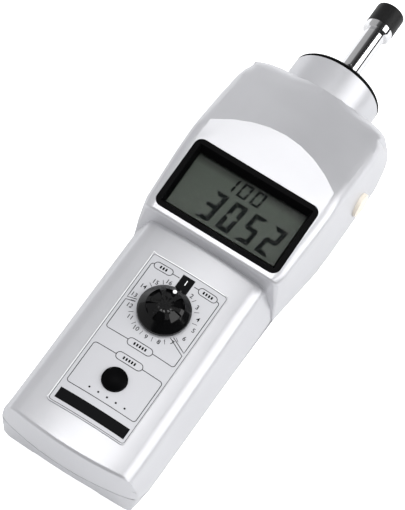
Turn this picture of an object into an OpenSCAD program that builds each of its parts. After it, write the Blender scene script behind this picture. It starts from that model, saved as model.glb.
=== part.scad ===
// Hand-held contact tachometer: two painted case halves, a display head, a selector knob, two buttons
// and a rotating measuring spindle in ball bearings with a pull-off contact adaptor.
// The instrument lies on its back: +Z points out of the front face, +Y towards the measuring tip.

/* [Case] */
// Width of the handle at the joint line
handle_w = 54; // [52:0.5:58]
// Width of the handle's front face at the bottom end, without the edge rounding's drop
handle_face_w = 48.8; // [47:0.2:50]
// Width of the handle's front face where it meets the head
neck_face_w = 46.8; // [45.5:0.2:48]
// Depth of the handle, from the back to the crown of the front face
handle_d = 33; // [32:0.5:36]
// Width of the head at the joint line
head_w = 62; // [61:0.5:65]
// Distance from the bottom end to the step where the head begins
head_y = 83.2; // [82:0.2:85]
// Length of the head, from the step to its far end
head_l = 82.3; // [81:0.5:86]
// Height of the display face over the handle's front face, at the step
head_rise = 5; // [4:0.5:6]
// Slope of the display face, degrees
display_tilt = 4.6; // [3:0.1:6]
// Slope of the hood that falls from the display face to the nose, degrees
hood_slope = 13.5; // [11:0.5:15]
// Crown radius of the hood across the head
hood_crown_r = 103; // [85:1:140]
// Distance the hood's crest lies beyond the display, along the case
hood_gap = 16.5; // [14:0.5:18]
// Crown radius of the handle's front face
handle_crown_r = 139; // [110:1:220]
// Bow of the bottom end wall
end_bow = 3.4; // [2:0.2:4]
// Thickness of the case walls
wall = 2; // [1.8:0.1:2.4]
// Height of the joint line along the sides
side_joint_z = 12; // [10:0.5:13]

/* [Display] */
// Distance from the head's side at the joint line in to the display bezel
bezel_inset = 6.7; // [6.4:0.1:8]
// Length of the display bezel
bezel_l = 28.9; // [26:0.2:30]
// Depth of the bezel's recess down to the window
bezel_d = 2.6; // [2.4:0.1:3]
// Margin between the step and the bezel
bezel_margin = 2.4; // [2.2:0.1:3]
// Thickness of the clear window
window_t = 0.8; // [0.6:0.1:1]
// Thickness of the liquid crystal panel
lcd_t = 2.4; // [2:0.1:2.8]

/* [Controls] */
// Distance from the printed faceplate to the step
label_gap = 10.6; // [9:0.2:14]
// Width of the printed faceplate
label_w = 29.7; // [28:0.1:31]
// Distance from the bottom end to the faceplate
label_y = 8.1; // [7:0.1:10]
// Distance from the step back to the selector's axis
knob_from_step = 27.6; // [26:0.2:29]
// Radius of the selector knob
knob_r = 9.15; // [8:0.05:9.5]
// Height of the selector knob over the faceplate
knob_h = 5.2; // [4.4:0.1:6.5]
// Distance between the axes of the selector and the memory button
memory_from_knob = 29.8; // [28.6:0.2:31.6]
// Radius of the memory button
memory_r = 4.3; // [3.6:0.1:4.6]
// Travel of the memory button
memory_travel = 1; // [0.6:0.1:1]
// Distance from the head's far end back to the measure button in the side wall
measure_from_end = 30.9; // [29.5:0.2:31.5]
// Height of the measure button over the back
measure_z = 19.6; // [19:0.2:21]
// Radius of the measure button
measure_r = 4.4; // [4:0.1:4.8]
// Travel of the measure button
measure_travel = 1.2; // [0.8:0.1:1.2]

/* [Spindle] */
// Radius of the round nose
nose_r = 17; // [16.4:0.1:17.4]
// Height of the spindle's axis over the back
axis_z = 18.2; // [18:0.1:19]
// Distance that the nose stands out of the head's far end
nose_reach = 5.5; // [5:0.1:7.5]
// Radius of the spindle in its bearings
spindle_r = 3; // [2.8:0.1:3.2]
// Outer radius of the ball bearings
bearing_r = 9.5; // [9:0.1:10]
// Width of each ball bearing
bearing_w = 6; // [5:0.2:6.4]
// Radius of the spindle's stub that carries the adaptor
stub_r = 2.5; // [2.2:0.1:2.6]
// Length of the spindle's stub
stub_l = 18; // [15:0.5:20]
// Radius of the adaptor's chromed tube
adaptor_r = 3.9; // [3.7:0.1:4.2]
// Length of the adaptor's chromed tube up to its collar
adaptor_l = 24.8; // [23:0.2:27]
// Radius of the adaptor's collar
collar_r = 5.25; // [4.8:0.05:5.3]
// Length of the adaptor's collar
collar_l = 3.1; // [2.5:0.1:4]
// Radius of the rubber contact tip
tip_r = 5.4; // [4.8:0.1:5.8]
// Length of the rubber contact tip
tip_l = 8.4; // [7:0.1:10]
// Radius of the slotted encoder disc
disc_r = 12; // [11:0.2:12.4]
// Number of slots in the encoder disc
disc_slots = 24; // [12:2:36]

/* [Power] */
// Radius of an AA cell
cell_r = 7.1; // [6.9:0.05:7.2]
// Length of an AA cell without its button
cell_l = 49.2; // [48.6:0.1:49.6]
// Distance between the two cells' axes
cell_pitch = 16; // [15.4:0.1:16.4]
// Width of the battery cover
cover_w = 33; // [32:0.5:34]

/* [Hidden] */
$fn = 48;

// Clearances: of pieces that seat, of shafts that turn, of buttons and covers that slide,
// of screw threads in their pilots, and the overrun of every cut
seat = 0.05;
run = 0.04;
slide = 0.15;
grip = 0.02;
cut = 1;

// Case outline, from the bottom end to the far end
side_run = 26.8;
bottom_corner_rx = 6;
bottom_corner_ry = 6;
top_flat_half = 15;
top_corner_ry = 25.5;
end_joint_z = 18.2;
joint_ramp_l = 9;
joint_ramp_end = 17.5;
neck_flare = 0.9;
neck_ease = 0.4;
flat_margin = 1;

// Rounding of the edges: reach across the face and drop from it
handle_edge = [4.9, 3.1];
head_edge = [3.6, 3];
bottom_edge = [1.2, 1];
far_edge = [6.4, 7];
back_edge = [8, 7.5];
back_end_edge = [7, 7];
step_edge = [0.9, 1];
step_corner_r = 2.6;
head_lean_low = 0.7;
head_lean = 2.4;
handle_bulge = 0.9;
head_bulge = 0.3;
back_tuck = 1.3;
end_draft = 0.4;

// Levels of an edge: 0 at the joint line, 1 half way along the wall, 2 where the rounding starts,
// and from there round to the face
edge_steps = 4;
round_level = 2;
levels = edge_steps + round_level + 1;
face_columns = 8;

joint_gap = 0.12;

head_end_y = head_y + head_l;
nose_front_y = head_end_y + nose_reach;
joint_ramp_start = head_end_y - joint_ramp_end;
neck_half = handle_w / 2 + neck_flare;
top_corner_rx = head_w / 2 - top_flat_half;
head_shoulder_low = neck_half - head_lean_low;
head_shoulder = head_w / 2 - head_lean;
bezel_w = head_w - 2 * bezel_inset;
label_l = head_y - label_gap - label_y;
knob_y = head_y - knob_from_step;
memory_y = knob_y - memory_from_knob;
measure_y = head_end_y - measure_from_end;

face_z = handle_d;
display_z = face_z + head_rise;
bezel_y = head_y + bezel_margin + bezel_l / 2;
bezel_edge_y = head_y + bezel_margin + bezel_l;
crest_y = bezel_edge_y + hood_gap;
tilt_rate = tan(display_tilt);
hood_rate = tan(hood_slope);
crest_z = display_z + tilt_rate * (crest_y - head_y);
facet_rim = 0.3;
facet_half = bezel_w / 2 + facet_rim;
bezel_z = display_z + tilt_rate * (bezel_y - head_y);

function clamp(v, a, b) = min(max(v, a), b);
function smooth(t) = let (u = clamp(t, 0, 1)) u * u * (3 - 2 * u);
function lerp(a, b, t) = a + (b - a) * t;

// Half width of the case at the joint line
function half_w(y) =
    y < head_y ? lerp(handle_w / 2, neck_half - neck_ease, smooth(y / head_y))
    : lerp(neck_half, head_w / 2, clamp((y - head_y) / side_run, 0, 1));

// Half width where the front edge's rounding starts
function shoulder_half(y) =
    y < head_y ? lerp(handle_face_w, neck_face_w, clamp(y / head_y, 0, 1)) / 2
    : let (d = clamp((y - head_y) / step_corner_r, 0, 1),
           full = lerp(head_shoulder_low, head_shoulder, clamp((y - head_y) / side_run, 0, 1)))
      full - step_corner_r * (1 - sqrt(1 - pow(1 - d, 2)));

// Height of the joint line: low along the sides, raised at both ends
function joint_z(y) =
    lerp(side_joint_z, end_joint_z,
         max(smooth(1 - y / joint_ramp_l), smooth((y - joint_ramp_start) / joint_ramp_l)));

// Front face: the handle's crown, and the head's display plane cut into its crowned hood
function handle_top(x) = face_z - x * x / (2 * handle_crown_r);
function hood_top(x, y) = crest_z - hood_rate * (y - crest_y) - x * x / (2 * hood_crown_r);
function facet_top(y) = display_z + tilt_rate * (y - head_y);
function crest_line(x) =
    crest_y - pow(min(abs(x), facet_half), 2) / (2 * hood_crown_r * (tilt_rate + hood_rate));
function head_top(x, y) = min(facet_top(y), hood_top(x, y));

// A square corner patch is drawn in to a rounded one
function round_corner(a, b) =
    let (m = max(a, b), d = norm([a, b])) a <= 0 || b <= 0 || d == 0 ? [a, b] : [a, b] * (m / d);

// Reach and drop of level k of an edge whose rounding is e = [reach, drop], on a wall of height h
function edge_angle(k) = 90 * max(k - round_level, 0) / edge_steps;
function reach(k, e) = e[0] * (1 - cos(edge_angle(k)));
function drop(k, e, h) = k == 0 ? h : k == 1 ? (h + e[1]) / 2 : e[1] * (1 - sin(edge_angle(k)));
function draft(k) = end_draft * min(k, round_level) / round_level;

// Stations along the case: [y, kind, level]. Kinds: 0 bottom end, 1 handle, 2 head, 3 hood, 4 far end
handle_share = [0.08, 0.2, 0.36, 0.52, 0.68, 0.84];
head_share = [0.05, 0.12, 0.25, 0.45, 0.7];
arch_share = [0, 0.5, 1];
hood_share = [0.22, 0.45, 0.7, 1];
hood_end_y = head_end_y - far_edge[0] - end_draft - wall - flat_margin;
front_stations = concat(
    [for (k = [0 : levels - 1]) [reach(k, bottom_edge) + draft(k), 0, k]],
    [for (s = handle_share) [lerp(bottom_edge[0], head_y, s), 1, levels]],
    [[head_y, 1, levels]],
    [for (k = [round_level : levels - 1]) [head_y + seat + reach(k, step_edge), 2, k]],
    [for (s = head_share) [lerp(head_y + seat + step_edge[0] + wall, bezel_edge_y, s), 2, levels]],
    [for (s = arch_share) [s, 3, 0]],
    [for (s = hood_share) [s, 3, 1]],
    [for (k = [levels - 1 : -1 : 0]) [head_end_y - reach(k, far_edge) - draft(k), 4, k]]);

// Columns across the case: [level, share of the face's half width, side]
columns = concat(
    [for (k = [0 : levels - 2]) [k, 1, -1]],
    [for (i = [0 : face_columns]) [levels - 1, abs(2 * i / face_columns - 1), 2 * i < face_columns ? -1 : 1]],
    [for (k = [levels - 2 : -1 : 0]) [k, 1, 1]]);

// Half width of a column at station height y, drawn in by the skin thickness t
function front_column(c, y, t) =
    let (w = half_w(y) - t,
         s = min(shoulder_half(y) - t, w),
         near = y < head_y,
         e = near ? handle_edge : head_edge,
         edge = near ? s - handle_edge[0] : min(s - head_edge[0], facet_half))
    c[0] == 0 ? w
    : c[0] == 1 ? (w + s) / 2 + (near ? handle_bulge : head_bulge)
    : c[0] < levels - 1 ? s - (s - edge) * reach(c[0], e) / e[0] : edge * c[1];

// Plan position of a point of column c at x0 and height y, with the corners of both ends rounded
function in_plan(c, x0, y, t) =
    let (w = half_w(y) - t,
         near = y < head_y,
         rx = (near ? bottom_corner_rx : top_corner_rx) - t,
         ry = (near ? bottom_corner_ry : top_corner_ry) - t,
         edge_y = near ? t : head_end_y - t,
         a = (x0 - (w - rx)) / rx,
         b = near ? (edge_y + ry - y) / ry : (y - (edge_y - ry)) / ry,
         q = round_corner(a, b),
         inside = a <= 0 || b <= 0,
         x = inside ? x0 : w - rx + q[0] * rx,
         yy = inside ? y : near ? edge_y + ry - q[1] * ry : edge_y - ry + q[1] * ry)
    [c[2] * x, yy];

// Bow of the bottom end, which fades out towards the head
function bow(p) = end_bow * (1 - pow(p[0] / (handle_w / 2), 2)) * smooth(1 - p[1] / (head_y / 2));

// One point of the front shell's skin; t draws it inwards by a wall
function front_point(r, c, t) =
    let (kind = r[1],
         wide = c[0] < levels - 1 ? facet_half : facet_half * c[1],
         arch = crest_line(wide),
         y0 = kind == 3 ? (r[2] == 0 ? lerp(bezel_edge_y, arch, r[0]) : lerp(arch, hood_end_y, r[0])) : r[0],
         y = kind == 0 ? y0 + t : kind == 4 ? y0 - t
             : kind == 2 && r[2] < levels ? y0 + t : y0,
         ys = kind == 1 ? min(y0, head_y - seat) : y,
         q = in_plan(c, front_column(c, ys, t), ys, t),
         p = [q[0], q[1] - (kind < 2 ? bow(q) : 0)],
         top = kind < 2 ? handle_top(p[0]) : kind == 2 ? facet_top(p[1]) : head_top(p[0], p[1]),
         face = top - t,
         side_e = kind < 2 ? handle_edge : head_edge,
         end_e = kind == 0 ? bottom_edge : kind == 2 ? step_edge : far_edge,
         foot = joint_z(p[1]),
         end_row = kind != 1 && kind != 3 && r[2] < levels,
         side_d = drop(c[0], side_e, face - foot),
         end_d = end_row ? drop(r[2], end_e, face - foot) : 0,
         z = max(foot, face - max(side_d, end_d)))
    [p[0], kind == 1 && r[0] == head_y ? p[1] + t : p[1], z];

// Rear shell: the same outline at the joint line, tucked in and rounded to a flat back
rear_share = [0.04, 0.09, 0.17, 0.33, 0.5, 0.66, 0.8, 0.92];
rear_run = head_end_y - back_end_edge[0] - end_draft;
rear_stations = concat(
    [for (k = [0 : levels - 1]) [reach(k, back_end_edge) + draft(k), 0, k]],
    [for (s = rear_share) [lerp(back_end_edge[0] + end_draft + wall, rear_run, s), 1, levels]],
    [for (k = [levels - 1 : -1 : 0]) [head_end_y - reach(k, back_end_edge) - draft(k), 4, k]]);

function rear_column(c, y, t) =
    let (w = half_w(y) - t, s = w - back_tuck)
    c[0] == 0 ? w : c[0] == 1 ? (w + s) / 2 : c[0] < levels - 1 ? s - reach(c[0], back_edge)
    : (s - back_edge[0]) * c[1];

function rear_point(r, c, t) =
    let (kind = r[1],
         y = kind == 0 ? r[0] + t : kind == 4 ? r[0] - t : r[0],
         p = in_plan(c, rear_column(c, y, t), y, t),
         foot = joint_z(p[1] - bow(p)) - joint_gap,
         side_d = drop(c[0], back_edge, foot - t),
         end_d = kind == 1 ? 0 : drop(r[2], back_end_edge, foot - t),
         z = min(foot, t + max(side_d, end_d)))
    [p[0], p[1] - bow(p) * (1 - smooth(1 - z / foot)), z];

// Case screws: places, the screws and the bosses round them
screw_r = 1.1;
screw_head_r = 2.2;
screw_head_h = 1.9;
screw_l = 13.9;
screw_slot_w = 0.6;
screw_slot_d = 0.9;
screw_hole_r = 1.3;
head_bore_r = 2.5;
head_seat_z = 8;
rear_boss_r = 3.2;
front_boss_r = 2.8;
boss_lift = 0.4;
boss_rim = 1.3;
lower_screw_y = 14;
upper_screw_from_end = 19.5;
upper_screw_inset = 7.4;
lower_boss_sink = 2.4;
upper_boss_sink = 1.5;
upper_screw_y = head_end_y - upper_screw_from_end;
lower_screw_x = cover_w / 2 + boss_rim + head_bore_r;
upper_screw_x = head_w / 2 - upper_screw_inset;
screw_places = [for (s = [-1, 1]) each [[s * lower_screw_x, lower_screw_y], [s * upper_screw_x, upper_screw_y]]];
function boss_top(p) =
    p[1] < head_y ? handle_top(p[0]) - lower_boss_sink : hood_top(p[0], p[1]) - upper_boss_sink;

// Small screws that hold the boards
board_screw_r = 0.9;
board_screw_head_r = 1.8;
board_screw_head_h = 1.2;
board_screw_l = 5.6;
board_post_r = 2.4;
board_hole_r = 1.1;
board_t = 1.6;
post_sink = 1.2;

// Selector: coded switch on the main board, its shaft and its knob
switch_h = 7.2;
switch_r = 10;
switch_gap = 0.8;
switch_neck_r = 4.6;
switch_neck_h = 0.6;
shaft_r = 3;
shaft_floor = 1.6;
shaft_hole_r = 3.4;
shaft_flat = 0.7;
label_t = 0.35;
label_corner_r = 1.2;
label_z = face_z + seat + label_t;
knob_lift = 0.4;
knob_skirt_h = 1.5;
knob_skirt_step = 0.5;
knob_top_r = 7.1;
knob_top_round = 0.6;
knob_cover_t = 1.2;
knob_scoops = 6;
scoop_r = 5.2;
scoop_reach = 2.1;
scoop_tilt = 20;
dot_r = 0.7;
dot_t = 0.4;
dot_from_axis = 5.9;
knob_z = label_z + knob_lift;
knob_top_z = label_z + knob_h;

// Main board, on four posts of the front case
main_board_z = face_z - wall - switch_gap - switch_h - board_t;
main_board_half = 16.5;
main_board_y = 12;
main_board_gap = 3.2;
main_board_end_y = head_y - main_board_gap;
main_post_inset = 3;
main_post_end = 4;
main_posts = [for (s = [-1, 1]) each [
    [s * (main_board_half - main_post_inset), main_board_y + main_post_end],
    [s * (main_board_half - main_post_inset), main_board_end_y - main_post_end]]];
chip_w = 10;
chip_t = 1.6;
chip_x = 7.5;
chip_gap_y = 38;
small_chip_w = 5;
small_chip_l = 6.4;
crystal_r = 1.5;
crystal_l = 8;

// Memory button in the front face and the switch below it
button_flange = 0.9;
button_flange_t = 1.2;
button_gap = 0.25;
button_dome = 0.9;
button_rise = 1.2;
press_margin = 0.1;
memory_switch_w = 6.2;
memory_switch_t = 3.2;
memory_cap_r = 1.75;
memory_flange_z = face_z - wall - button_gap - button_flange_t;

// Measure button in the side wall, the switch and the little board behind it
measure_wall_x = front_side_x(measure_y, measure_z);
measure_lean = 1;
measure_flange_x = measure_wall_x - wall - measure_lean - button_flange_t;
measure_rise = 2;
side_board_t = 1.5;
side_board_inset = 11;
side_board_x = head_w / 2 - side_board_inset;
side_board_l = 13.8;
side_board_h = 15.6;
side_board_drop = 7;
side_post_r = 2;
side_post_inset = 2.2;
side_switch_w = 6.2;
side_switch_t = 2.6;
side_cap_r = 1.75;

// Wall height of the head's side at height z, along a straight draft
function front_side_x(y, z) =
    let (top = facet_top(y) - head_edge[1], foot = joint_z(y))
    lerp(half_w(y), shoulder_half(y), clamp((z - foot) / (top - foot), 0, 1));

// Display stack, measured from the display face down
bezel_corner_r = 3;
bezel_flange_in = 2.7;
bezel_flange_up = 1.4;
opening_rim = [2, 2];
opening_foot_rim = [3.1, 3.65];
window_rim = [1.6, 1.45];
lcd_rim = [1.4, 1.25];
bezel_size = [bezel_w, bezel_l];
bezel_flange_x = bezel_w / 2 - bezel_flange_in;
opening_top = bezel_size - 2 * opening_rim;
opening_foot = bezel_size - 2 * opening_foot_rim;
window_size = bezel_size - 2 * window_rim;
lcd_size = bezel_size - 2 * lcd_rim;
holder_wall = 1.1;
board_lcd_gap = 1.9;
zebra_w = 2;
zebra_inset = 2.9;
display_board_inset = 0.7;
display_post_inset = 4;
zebra_l = lcd_size[0] - 2 * zebra_inset;
display_board_half = bezel_w / 2 - display_board_inset;
display_board_up = 21.4;
display_tab_half = 12;
display_tab_l = 5;
display_post_x = display_board_half - display_post_inset;
display_post_up = 18.6;
window_top = bezel_d + seat;
lcd_top = window_top + window_t + seat;
lcd_foot = lcd_top + lcd_t;
display_board_top = lcd_foot + board_lcd_gap;
pocket_d = display_board_top + board_t + cut;

// Nose and bearings, along the spindle's axis
nose_l = 18.2;
cap_t = 1.7;
cap_step = 0.7;
cap_hole_r = 4.8;
lip_t = 1.3;
lip_r = 8.2;
bearing_gap = 5;
housing_wall = 5.45;
shoulder_step = 0.9;
sleeve_bore_r = bearing_r + housing_wall + seat;
ear_screw_inset = 10.8;
ear_screw_x = head_w / 2 - ear_screw_inset;
ear_t = 2.5;
ear_screw_rise = 3.3;
ear_rim = 3.2;
ear_half = ear_screw_x + ear_rim;
ear_foot = 2;
far_boss_inset = 4.1;
housing_screw_l = 7.4;
nose_back_y = nose_front_y - nose_l;
sleeve_front_y = nose_front_y - cap_t;
front_bearing_y = sleeve_front_y - lip_t - seat - bearing_w;
rear_bearing_y = front_bearing_y - bearing_gap - bearing_w;
outer_race_r = 7.5;
inner_race_r = 5;
ball_r = 1.65;
balls = 8;
ball_ring_r = (outer_race_r + inner_race_r) / 2;
spacer_r = 4.3;
shaft_collar_r = 4.4;
shaft_collar_out = 0.6;
ring_t = 0.8;
ring_r = 4.7;
ring_groove = 0.4;
disc_t = 0.6;
disc_back = 18;
slot_in = 3.4;
slot_out = 0.9;
slot_w = 0.7;
hub_r = 5;
hub_l = 4;
hub_bore_fit = 0.02;
shaft_tail = 1;
disc_y = rear_bearing_y - disc_back;
spindle_y0 = disc_y - hub_l - shaft_tail;
ring_y = rear_bearing_y - seat - ring_t;
stub_y = nose_front_y + shaft_collar_out;
stub_flat = 0.6;
bore_fit = 0.03;

// Contact adaptor that pushes on to the spindle's stub
adaptor_gap = 0.3;
adaptor_y = stub_y + adaptor_gap;
cross_hole_r = 1.25;
cross_hole_y = 6.1;
spigot_r = 2.6;
spigot_l = 4.4;
tip_bore_fit = 0.05;
tip_round = 0.9;
tip_dish_r = 3.4;
tip_dish_d = 0.8;
collar_round = 0.5;
tube_chamfer = 0.4;
bore_extra = 0.8;

// Optical sensor below the slotted disc
sensor_board_half = 13;
sensor_board_l = 24;
sensor_lift = 1;
sensor_w = 11;
sensor_arm_t = 1.8;
sensor_slot = 2.4;
sensor_base_gap = 0.4;
sensor_overlap = 3.6;
sensor_pad_r = 2;
sensor_pad_inset = 2.5;
sensor_board_z = wall + sensor_lift;
sensor_top_z = axis_z - disc_r + sensor_overlap;
sensor_base_z = axis_z - disc_r - sensor_base_gap;

// Battery bay moulded in the rear case, its cells, springs and contact plates
bay_wall = 2;
bay_play = 0.5;
bay_end_t = 1.2;
bay_y = 6;
bay_l = 58;
cell_lift = 0.8;
cell_nub_l = 1.3;
cell_nub_r = 2.7;
cell_round = 0.6;
contact_t = 0.4;
contact_w = 13;
contact_h = 11;
bay_roof_t = 1.2;
cell_z = wall + cell_lift + cell_r;
bay_half = cell_pitch / 2 + cell_r + bay_play;
bay_roof_z = cell_z + cell_r + bay_play;
spring_l = bay_l - 2 * contact_t - cell_l - cell_nub_l - 2 * seat;
spring_r = 4.2;
spring_tip_r = 2.7;
wire_r = 0.35;
spring_turns = 4;
spring_steps = 8;
wire_sides = 6;

// Battery cover: plate, and the end lip that follows the rounded bottom corner
cover_skin = 0.2;
cover_t = 1.7;
cover_lip_half = 13;
cover_lip_z = 8.6;
cover_shoulder_z = 4.4;
cover_steps = 2 * edge_steps;
cover_ribs = 5;
cover_rib_w = 1;
cover_rib_pitch = 2.2;
cover_rib_l = 16;
cover_rib_d = 0.5;
cover_rib_y = 14;
cover_rim = 1.6;
cover_end_y = bay_y + bay_l + cover_rim;

// Closed shell between two grids of points that share one border
module grid_shell(outer, inner) {
    rows = len(outer);
    cols = len(outer[0]);
    n = rows * cols;
    pts = concat([for (r = outer) for (p = r) p], [for (r = inner) for (p = r) p]);
    rim = concat([for (j = [0 : cols - 1]) j],
                 [for (i = [1 : rows - 1]) i * cols + cols - 1],
                 [for (j = [cols - 2 : -1 : 0]) (rows - 1) * cols + j],
                 [for (i = [rows - 2 : -1 : 1]) i * cols]);
    m = len(rim);
    faces = concat(
        [for (i = [0 : rows - 2]) for (j = [0 : cols - 2]) let (a = i * cols + j)
            each [[a, a + cols, a + cols + 1], [a, a + cols + 1, a + 1]]],
        [for (i = [0 : rows - 2]) for (j = [0 : cols - 2]) let (a = n + i * cols + j)
            each [[a, a + cols + 1, a + cols], [a, a + 1, a + cols + 1]]],
        [for (k = [0 : m - 1]) let (a = rim[k], b = rim[(k + 1) % m])
            each [[a, b, b + n], [a, b + n, a + n]]]);
    polyhedron(points = pts, faces = faces, convexity = 8);
}

// The origin lies on the back, below the step between handle and head
module placed() {
    translate([0, -head_y, 0])
        children();
}

module front_skin() {
    grid_shell([for (r = front_stations) [for (c = columns) front_point(r, c, 0)]],
               [for (r = front_stations) [for (c = columns) front_point(r, c, wall)]]);
}

module rear_skin() {
    back = [for (c = columns) [c[0], c[1], -c[2]]];
    grid_shell([for (r = rear_stations) [for (c = back) rear_point(r, c, 0)]],
               [for (r = rear_stations) [for (c = back) rear_point(r, c, wall)]]);
}

// Box between two corners
module block(a, b) {
    translate(a)
        cube(b - a);
}

// Plate of w by l with rounded corners, centred, from 0 up to h
module rounded_plate(w, l, r, h) {
    linear_extrude(h) {
        square([w - 2 * r, l], center = true);
        square([w, l - 2 * r], center = true);
        for (x = [-1, 1])
            for (y = [-1, 1])
                translate([x * (w / 2 - r), y * (l / 2 - r)])
                    circle(r);
    }
}

// Tube from a to b along the spindle's axis; solid when its bore is zero
module on_axis(y) {
    translate([0, y, axis_z])
        rotate([-90, 0, 0])
            children();
}

module tube(outer, bore, a, b) {
    on_axis(a)
        difference() {
            cylinder(r = outer, h = b - a);
            if (bore > 0)
                translate([0, 0, -cut])
                    cylinder(r = bore, h = b - a + 2 * cut);
        }
}

// Children in the frame of the display face: origin at the bezel's centre, z out of the face
module on_display() {
    translate([0, bezel_y, bezel_z])
        rotate([display_tilt, 0, 0])
            children();
}

// Pan-head screw with its head below the origin and its shank above it
module screw(shank_r, shank_l, head_r, head_h) {
    difference() {
        union() {
            translate([0, 0, -head_h])
                cylinder(r = head_r, h = head_h);
            cylinder(r = shank_r, h = shank_l);
        }
        for (turn = [0, 90])
            rotate(turn)
                translate([-head_r * 0.7, -screw_slot_w / 2, -head_h - cut])
                    cube([head_r * 1.4, screw_slot_w, screw_slot_d + cut]);
    }
}

module board_screw() {
    screw(board_screw_r, board_screw_l, board_screw_head_r, board_screw_head_h);
}

// Post from its foot up to its top, with a pilot for a board screw in its foot
module board_post(r, h) {
    difference() {
        cylinder(r = r, h = h);
        translate([0, 0, -cut])
            cylinder(r = board_screw_r + grip, h = board_screw_l + cut);
    }
}

module front_posts() {
    for (p = screw_places)
        translate([p[0], p[1], joint_z(p[1]) + slide])
            cylinder(r = front_boss_r, h = boss_top(p) - joint_z(p[1]) - slide);
    for (p = main_posts)
        translate([p[0], p[1], main_board_z + board_t])
            cylinder(r = board_post_r, h = handle_top(p[0]) - post_sink - main_board_z - board_t);
    on_display()
        for (s = [-1, 1])
            translate([s * display_post_x, display_post_up, -display_board_top])
                cylinder(r = board_post_r, h = display_board_top - post_sink);
    for (p = side_posts)
        translate([side_board_x + side_board_t, p[0], p[1]])
            rotate([0, 90, 0])
                cylinder(r = side_post_r, h = front_side_x(p[0], p[1]) - post_sink - side_board_x - side_board_t);
    for (s = [-1, 1])
        translate([s * ear_screw_x, nose_back_y + ear_t + seat, axis_z + ear_screw_rise])
            rotate([-90, 0, 0])
                cylinder(r = front_boss_r, h = head_end_y - far_boss_inset - nose_back_y - ear_t - seat);
}

module front_pilots() {
    for (p = screw_places)
        translate([p[0], p[1], joint_z(p[1]) - cut])
            cylinder(r = screw_r + grip, h = head_seat_z + screw_l + 2 * cut - joint_z(p[1]));
    for (p = main_posts)
        translate([p[0], p[1], main_board_z + board_t - cut])
            cylinder(r = board_screw_r + grip, h = board_screw_l + cut);
    on_display()
        for (s = [-1, 1])
            translate([s * display_post_x, display_post_up, -display_board_top - cut])
                cylinder(r = board_screw_r + grip, h = board_screw_l - board_t + 2 * cut);
    for (p = side_posts)
        translate([side_board_x + side_board_t - cut, p[0], p[1]])
            rotate([0, 90, 0])
                cylinder(r = board_screw_r + grip, h = board_screw_l - board_t + 2 * cut);
    for (s = [-1, 1])
        translate([s * ear_screw_x, nose_back_y, axis_z + ear_screw_rise])
            rotate([-90, 0, 0])
                cylinder(r = screw_r + grip, h = housing_screw_l + cut);
}

// Room for the round nose in the far end of both shells
module nose_space() {
    tube(nose_r + seat, 0, nose_back_y - slide, nose_front_y + cut);
}

module front_case() {
    placed() color("silver")
        difference() {
            union() {
                front_skin();
                front_posts();
            }
            front_pilots();
            on_display()
                translate([0, 0, -pocket_d])
                    rounded_plate(bezel_w + 2 * seat, bezel_l + 2 * seat, bezel_corner_r, pocket_d + 3 * cut);
            translate([0, knob_y, face_z - 2 * wall])
                cylinder(r = shaft_hole_r, h = 3 * wall);
            translate([0, memory_y, face_z - 2 * wall])
                cylinder(r = memory_r + slide, h = 3 * wall);
            translate([measure_wall_x - 2 * wall, measure_y, measure_z])
                rotate([0, 90, 0])
                    cylinder(r = measure_r + slide, h = 4 * wall);
            nose_space();
        }
}

// Side view of the bottom end's rounded corner, drawn inwards by d: a is the angle round the corner
function end_bow_at(z) = bow([cover_lip_half, 0]) * (1 - smooth(1 - z / end_joint_z));
function corner_point(a, d) =
    let (z = back_end_edge[1] * (1 - sin(a)))
    [end_draft + back_end_edge[0] * (1 - cos(a)) + d * cos(a) - end_bow_at(z), z + d * sin(a)];
function corner_curve(d) = [for (k = [0 : cover_steps]) corner_point(90 * k / cover_steps, d)];
function lip_point(d, z) = [end_draft + d - end_bow_at(z), z];
function reversed(list) = [for (k = [len(list) - 1 : -1 : 0]) list[k]];

// Extrudes a side view across the case, to half on either side
module across(half) {
    translate([-half, 0, 0])
        rotate([90, 0, 90])
            linear_extrude(2 * half)
                children();
}

module cover_profile() {
    inner = cover_skin + cover_t;
    polygon(concat([lip_point(cover_skin, cover_lip_z)], corner_curve(cover_skin),
                   [[cover_end_y, cover_skin], [cover_end_y, inner]],
                   reversed(corner_curve(inner)), [lip_point(inner, cover_lip_z)]));
}

// The space that the cover takes as it slides out, open to the outside
module cover_space() {
    inner = cover_skin + cover_t + slide;
    polygon(concat([[-end_bow - cut, cover_lip_z + slide], [-end_bow - cut, -cut],
                    [cover_end_y + slide, -cut], [cover_end_y + slide, inner]],
                   reversed(corner_curve(inner)), [lip_point(inner, cover_lip_z + slide)]));
}

// A side view made wide below the cover's shoulders and narrower above them
module shouldered(g) {
    across(cover_lip_half + g)
        children();
    intersection() {
        across(cover_w / 2 + g)
            children();
        block([-cover_w, -end_bow - 2 * cut, -2 * cut], [cover_w, cover_end_y + cut, cover_shoulder_z + g]);
    }
}

// Walls and roof of the battery bay, open at the back where the cover closes it
module battery_bay() {
    difference() {
        block([-bay_half - bay_wall, bay_y - bay_end_t, wall / 2],
              [bay_half + bay_wall, bay_y + bay_l + bay_end_t, bay_roof_z + bay_roof_t]);
        block([-bay_half, bay_y, 0], [bay_half, bay_y + bay_l, bay_roof_z]);
        cover_slot();
    }
}

module cover_slot() {
    shouldered(slide)
        cover_space();
}

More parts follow.
